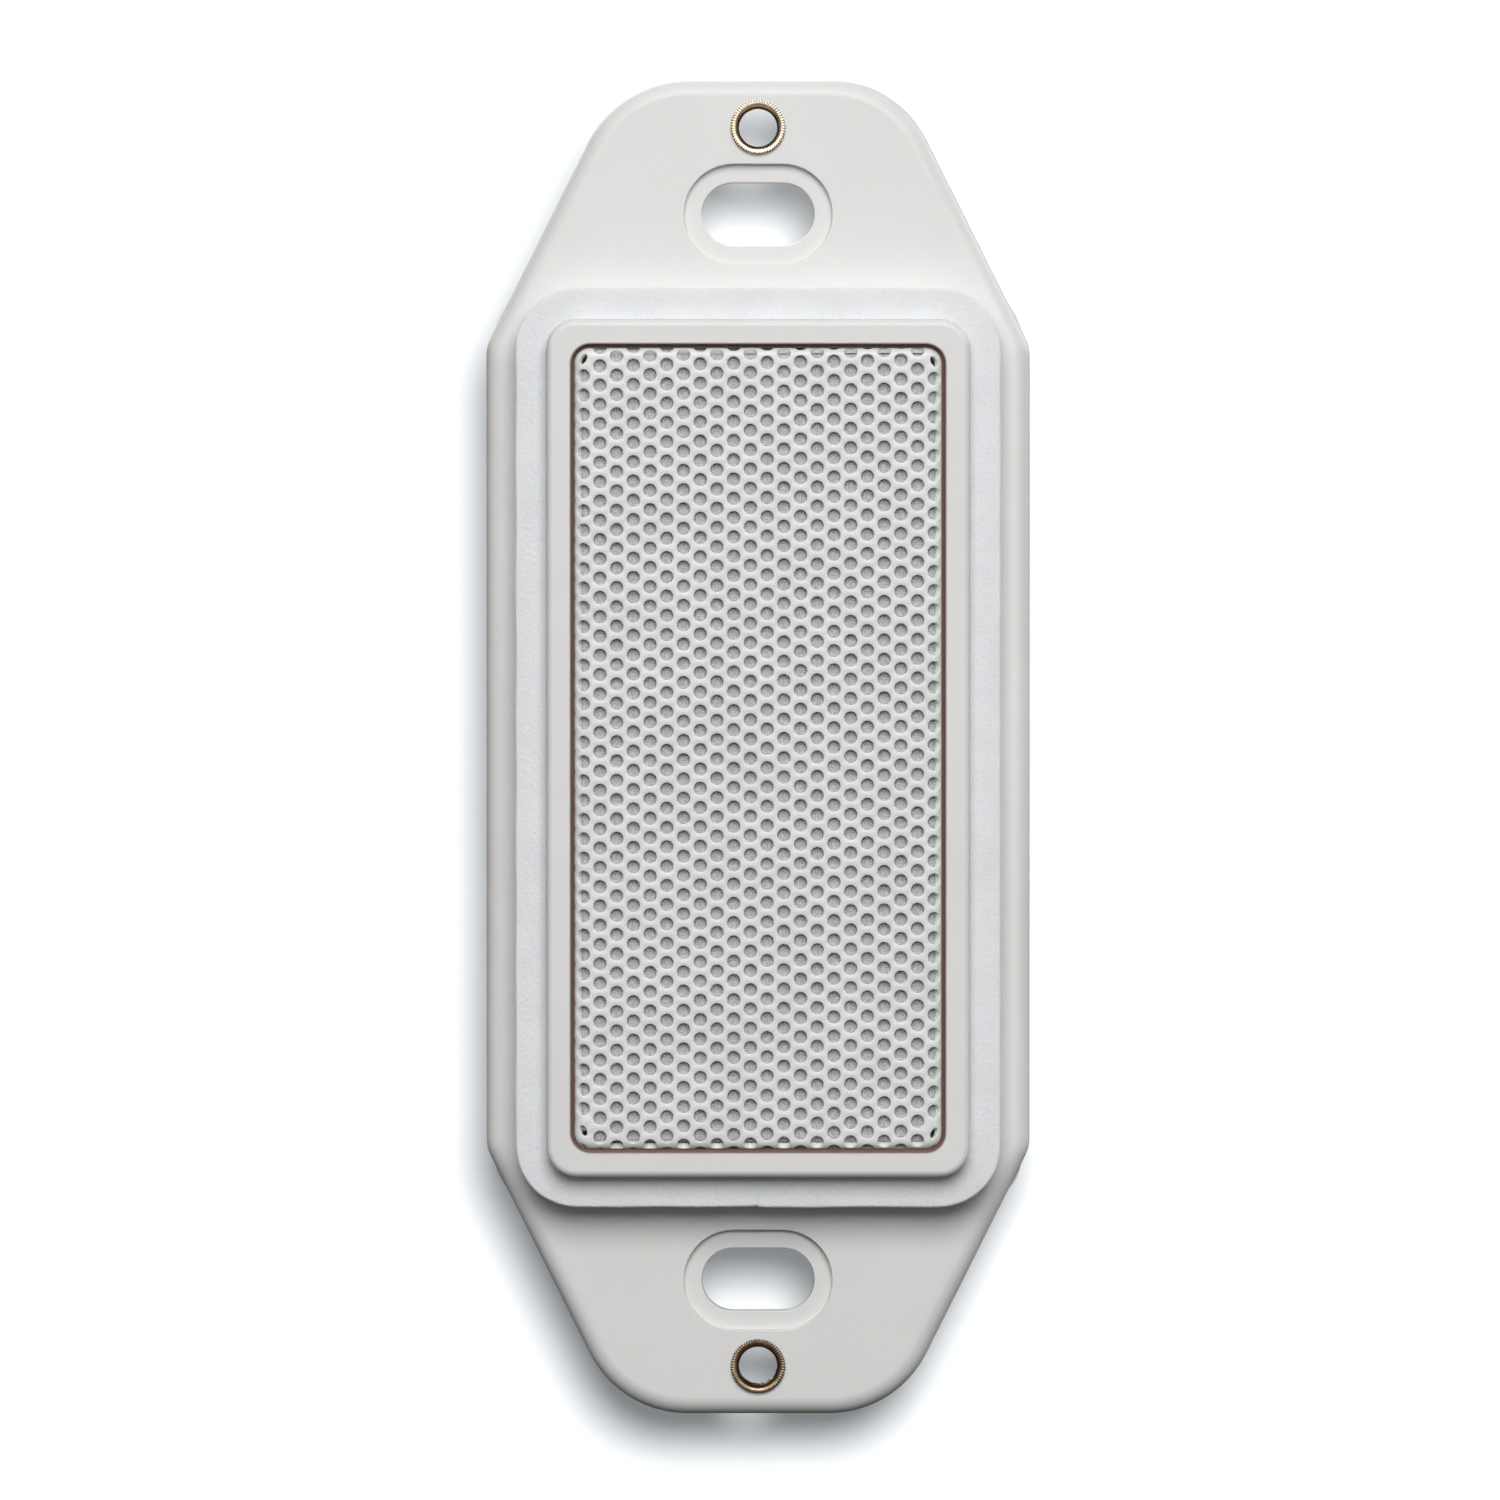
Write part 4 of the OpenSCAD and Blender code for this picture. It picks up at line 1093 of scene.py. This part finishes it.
# The backdrop shows from the front only: seen from behind it is clear
backdrop_nodes = plain_pale("backdrop_pale", (0.45, 0.46, 0.465))
backdrop_nodes.set(Emission_Color=(0.88, 0.96, 1.0), Emission_Strength=0.17)
facing = backdrop_nodes.add("ShaderNodeNewGeometry").outputs["Backfacing"]
clear = backdrop_nodes.add("ShaderNodeBsdfTransparent")
either = backdrop_nodes.add("ShaderNodeMixShader")
output = backdrop_nodes.tree.nodes["Material Output"]
backdrop_nodes.link(facing, either.inputs[0])
backdrop_nodes.link(backdrop_nodes.shader.outputs[0], either.inputs[1])
backdrop_nodes.link(clear.outputs[0], either.inputs[2])
backdrop_nodes.link(either.outputs[0], output.inputs["Surface"])
far_left_y = BACKDROP_Y + BACKDROP_TURN * BACKDROP_HALF
near_right_y = BACKDROP_Y - BACKDROP_TURN * BACKDROP_HALF
backdrop = stage_plane("backdrop", [(-BACKDROP_HALF, far_left_y, FLOOR_Z),
                                    (BACKDROP_HALF, near_right_y, FLOOR_Z),
                                    (BACKDROP_HALF, near_right_y, BACKDROP_HALF),
                                    (-BACKDROP_HALF, far_left_y, BACKDROP_HALF)],
                       backdrop_nodes.material)
backdrop.visible_diffuse = False
backdrop.visible_glossy = False
backdrop.visible_transmission = False
backdrop.visible_shadow = False


# ---- Light -------------------------------------------------------------------------------------

def area_light(name, place_m, size_m, watts, shape="SQUARE"):
    """A soft lamp that faces the middle of the frame."""
    light = bpy.data.lights.new(name, "AREA")
    light.shape = shape
    light.size = size_m
    light.energy = watts
    obj = bpy.data.objects.new(name, light)
    bpy.context.scene.collection.objects.link(obj)
    obj.location = place_m
    obj.rotation_euler = (-Vector(place_m)).to_track_quat("-Z", "Y").to_euler()
    return obj


def lights_only(light, name, objects, include=True):
    """The light falls on these objects only, or on all but these."""
    group = bpy.data.collections.new(name)
    light.light_linking.receiver_collection = group
    for obj in objects:
        group.objects.link(obj)
    for member in group.collection_objects:
        member.light_linking.link_state = "INCLUDE" if include else "EXCLUDE"


key = area_light("key", (0.04, -0.78, 0.42), 0.6, 7.0)
back_fill = area_light("back_fill", (-0.35, 1.05, 0.75), 0.9, 11.0)
side_fill = area_light("side_fill", (0.9, 0.6, 0.35), 0.6, 4.0)
for light in (key, back_fill, side_fill):
    lights_only(light, light.name + "_spares_backdrop", [backdrop], include=False)
drop = area_light("drop_shadow", (0.032, -0.98, 0.108), 0.16, 19.5, shape="DISK")
lights_only(drop, "drop_shadow_falls_on_backdrop", [backdrop])

world = bpy.data.worlds.new("studio")
bpy.context.scene.world = world
world.use_nodes = True
tree = world.node_tree
sky = tree.nodes["Background"]
# The studio is bright overhead and dim below. The camera sees plain white behind the object.
toward = tree.nodes.new("ShaderNodeTexCoord").outputs["Generated"]
split = tree.nodes.new("ShaderNodeSeparateXYZ")
tree.links.new(toward, split.inputs[0])
spread = tree.nodes.new("ShaderNodeMapRange")
tree.links.new(split.outputs["Z"], spread.inputs["Value"])
spread.inputs["From Min"].default_value = -0.6
spread.inputs["From Max"].default_value = 0.9
spread.inputs["To Min"].default_value = 0.05
spread.inputs["To Max"].default_value = 0.35
sky.inputs["Color"].default_value = (0.97, 0.99, 1.0, 1)
tree.links.new(spread.outputs["Result"], sky.inputs["Strength"])
plain = tree.nodes.new("ShaderNodeBackground")
plain.inputs["Color"].default_value = (1, 1, 1, 1)
choose = tree.nodes.new("ShaderNodeMixShader")
tree.links.new(tree.nodes.new("ShaderNodeLightPath").outputs["Is Camera Ray"], choose.inputs[0])
tree.links.new(sky.outputs[0], choose.inputs[1])
tree.links.new(plain.outputs[0], choose.inputs[2])
tree.links.new(choose.outputs[0], tree.nodes["World Output"].inputs["Surface"])


# ---- Camera ------------------------------------------------------------------------------------

camera = bpy.data.objects.new("camera", bpy.data.cameras.new("camera"))
bpy.context.scene.collection.objects.link(camera)
CAMERA_RISE = math.radians(1.0)
CAMERA_FAR = 1.0
AIM = Vector((-0.63, -3, -0.21)) * MM
camera.location = AIM + CAMERA_FAR * Vector((0, -math.cos(CAMERA_RISE), math.sin(CAMERA_RISE)))
camera.rotation_euler = (math.pi / 2 - CAMERA_RISE, 0, 0)
camera.data.lens = 307
camera.data.sensor_width = 36
camera.data.clip_start = 0.01
bpy.context.scene.camera = camera
bpy.context.scene.view_settings.view_transform = "Standard"
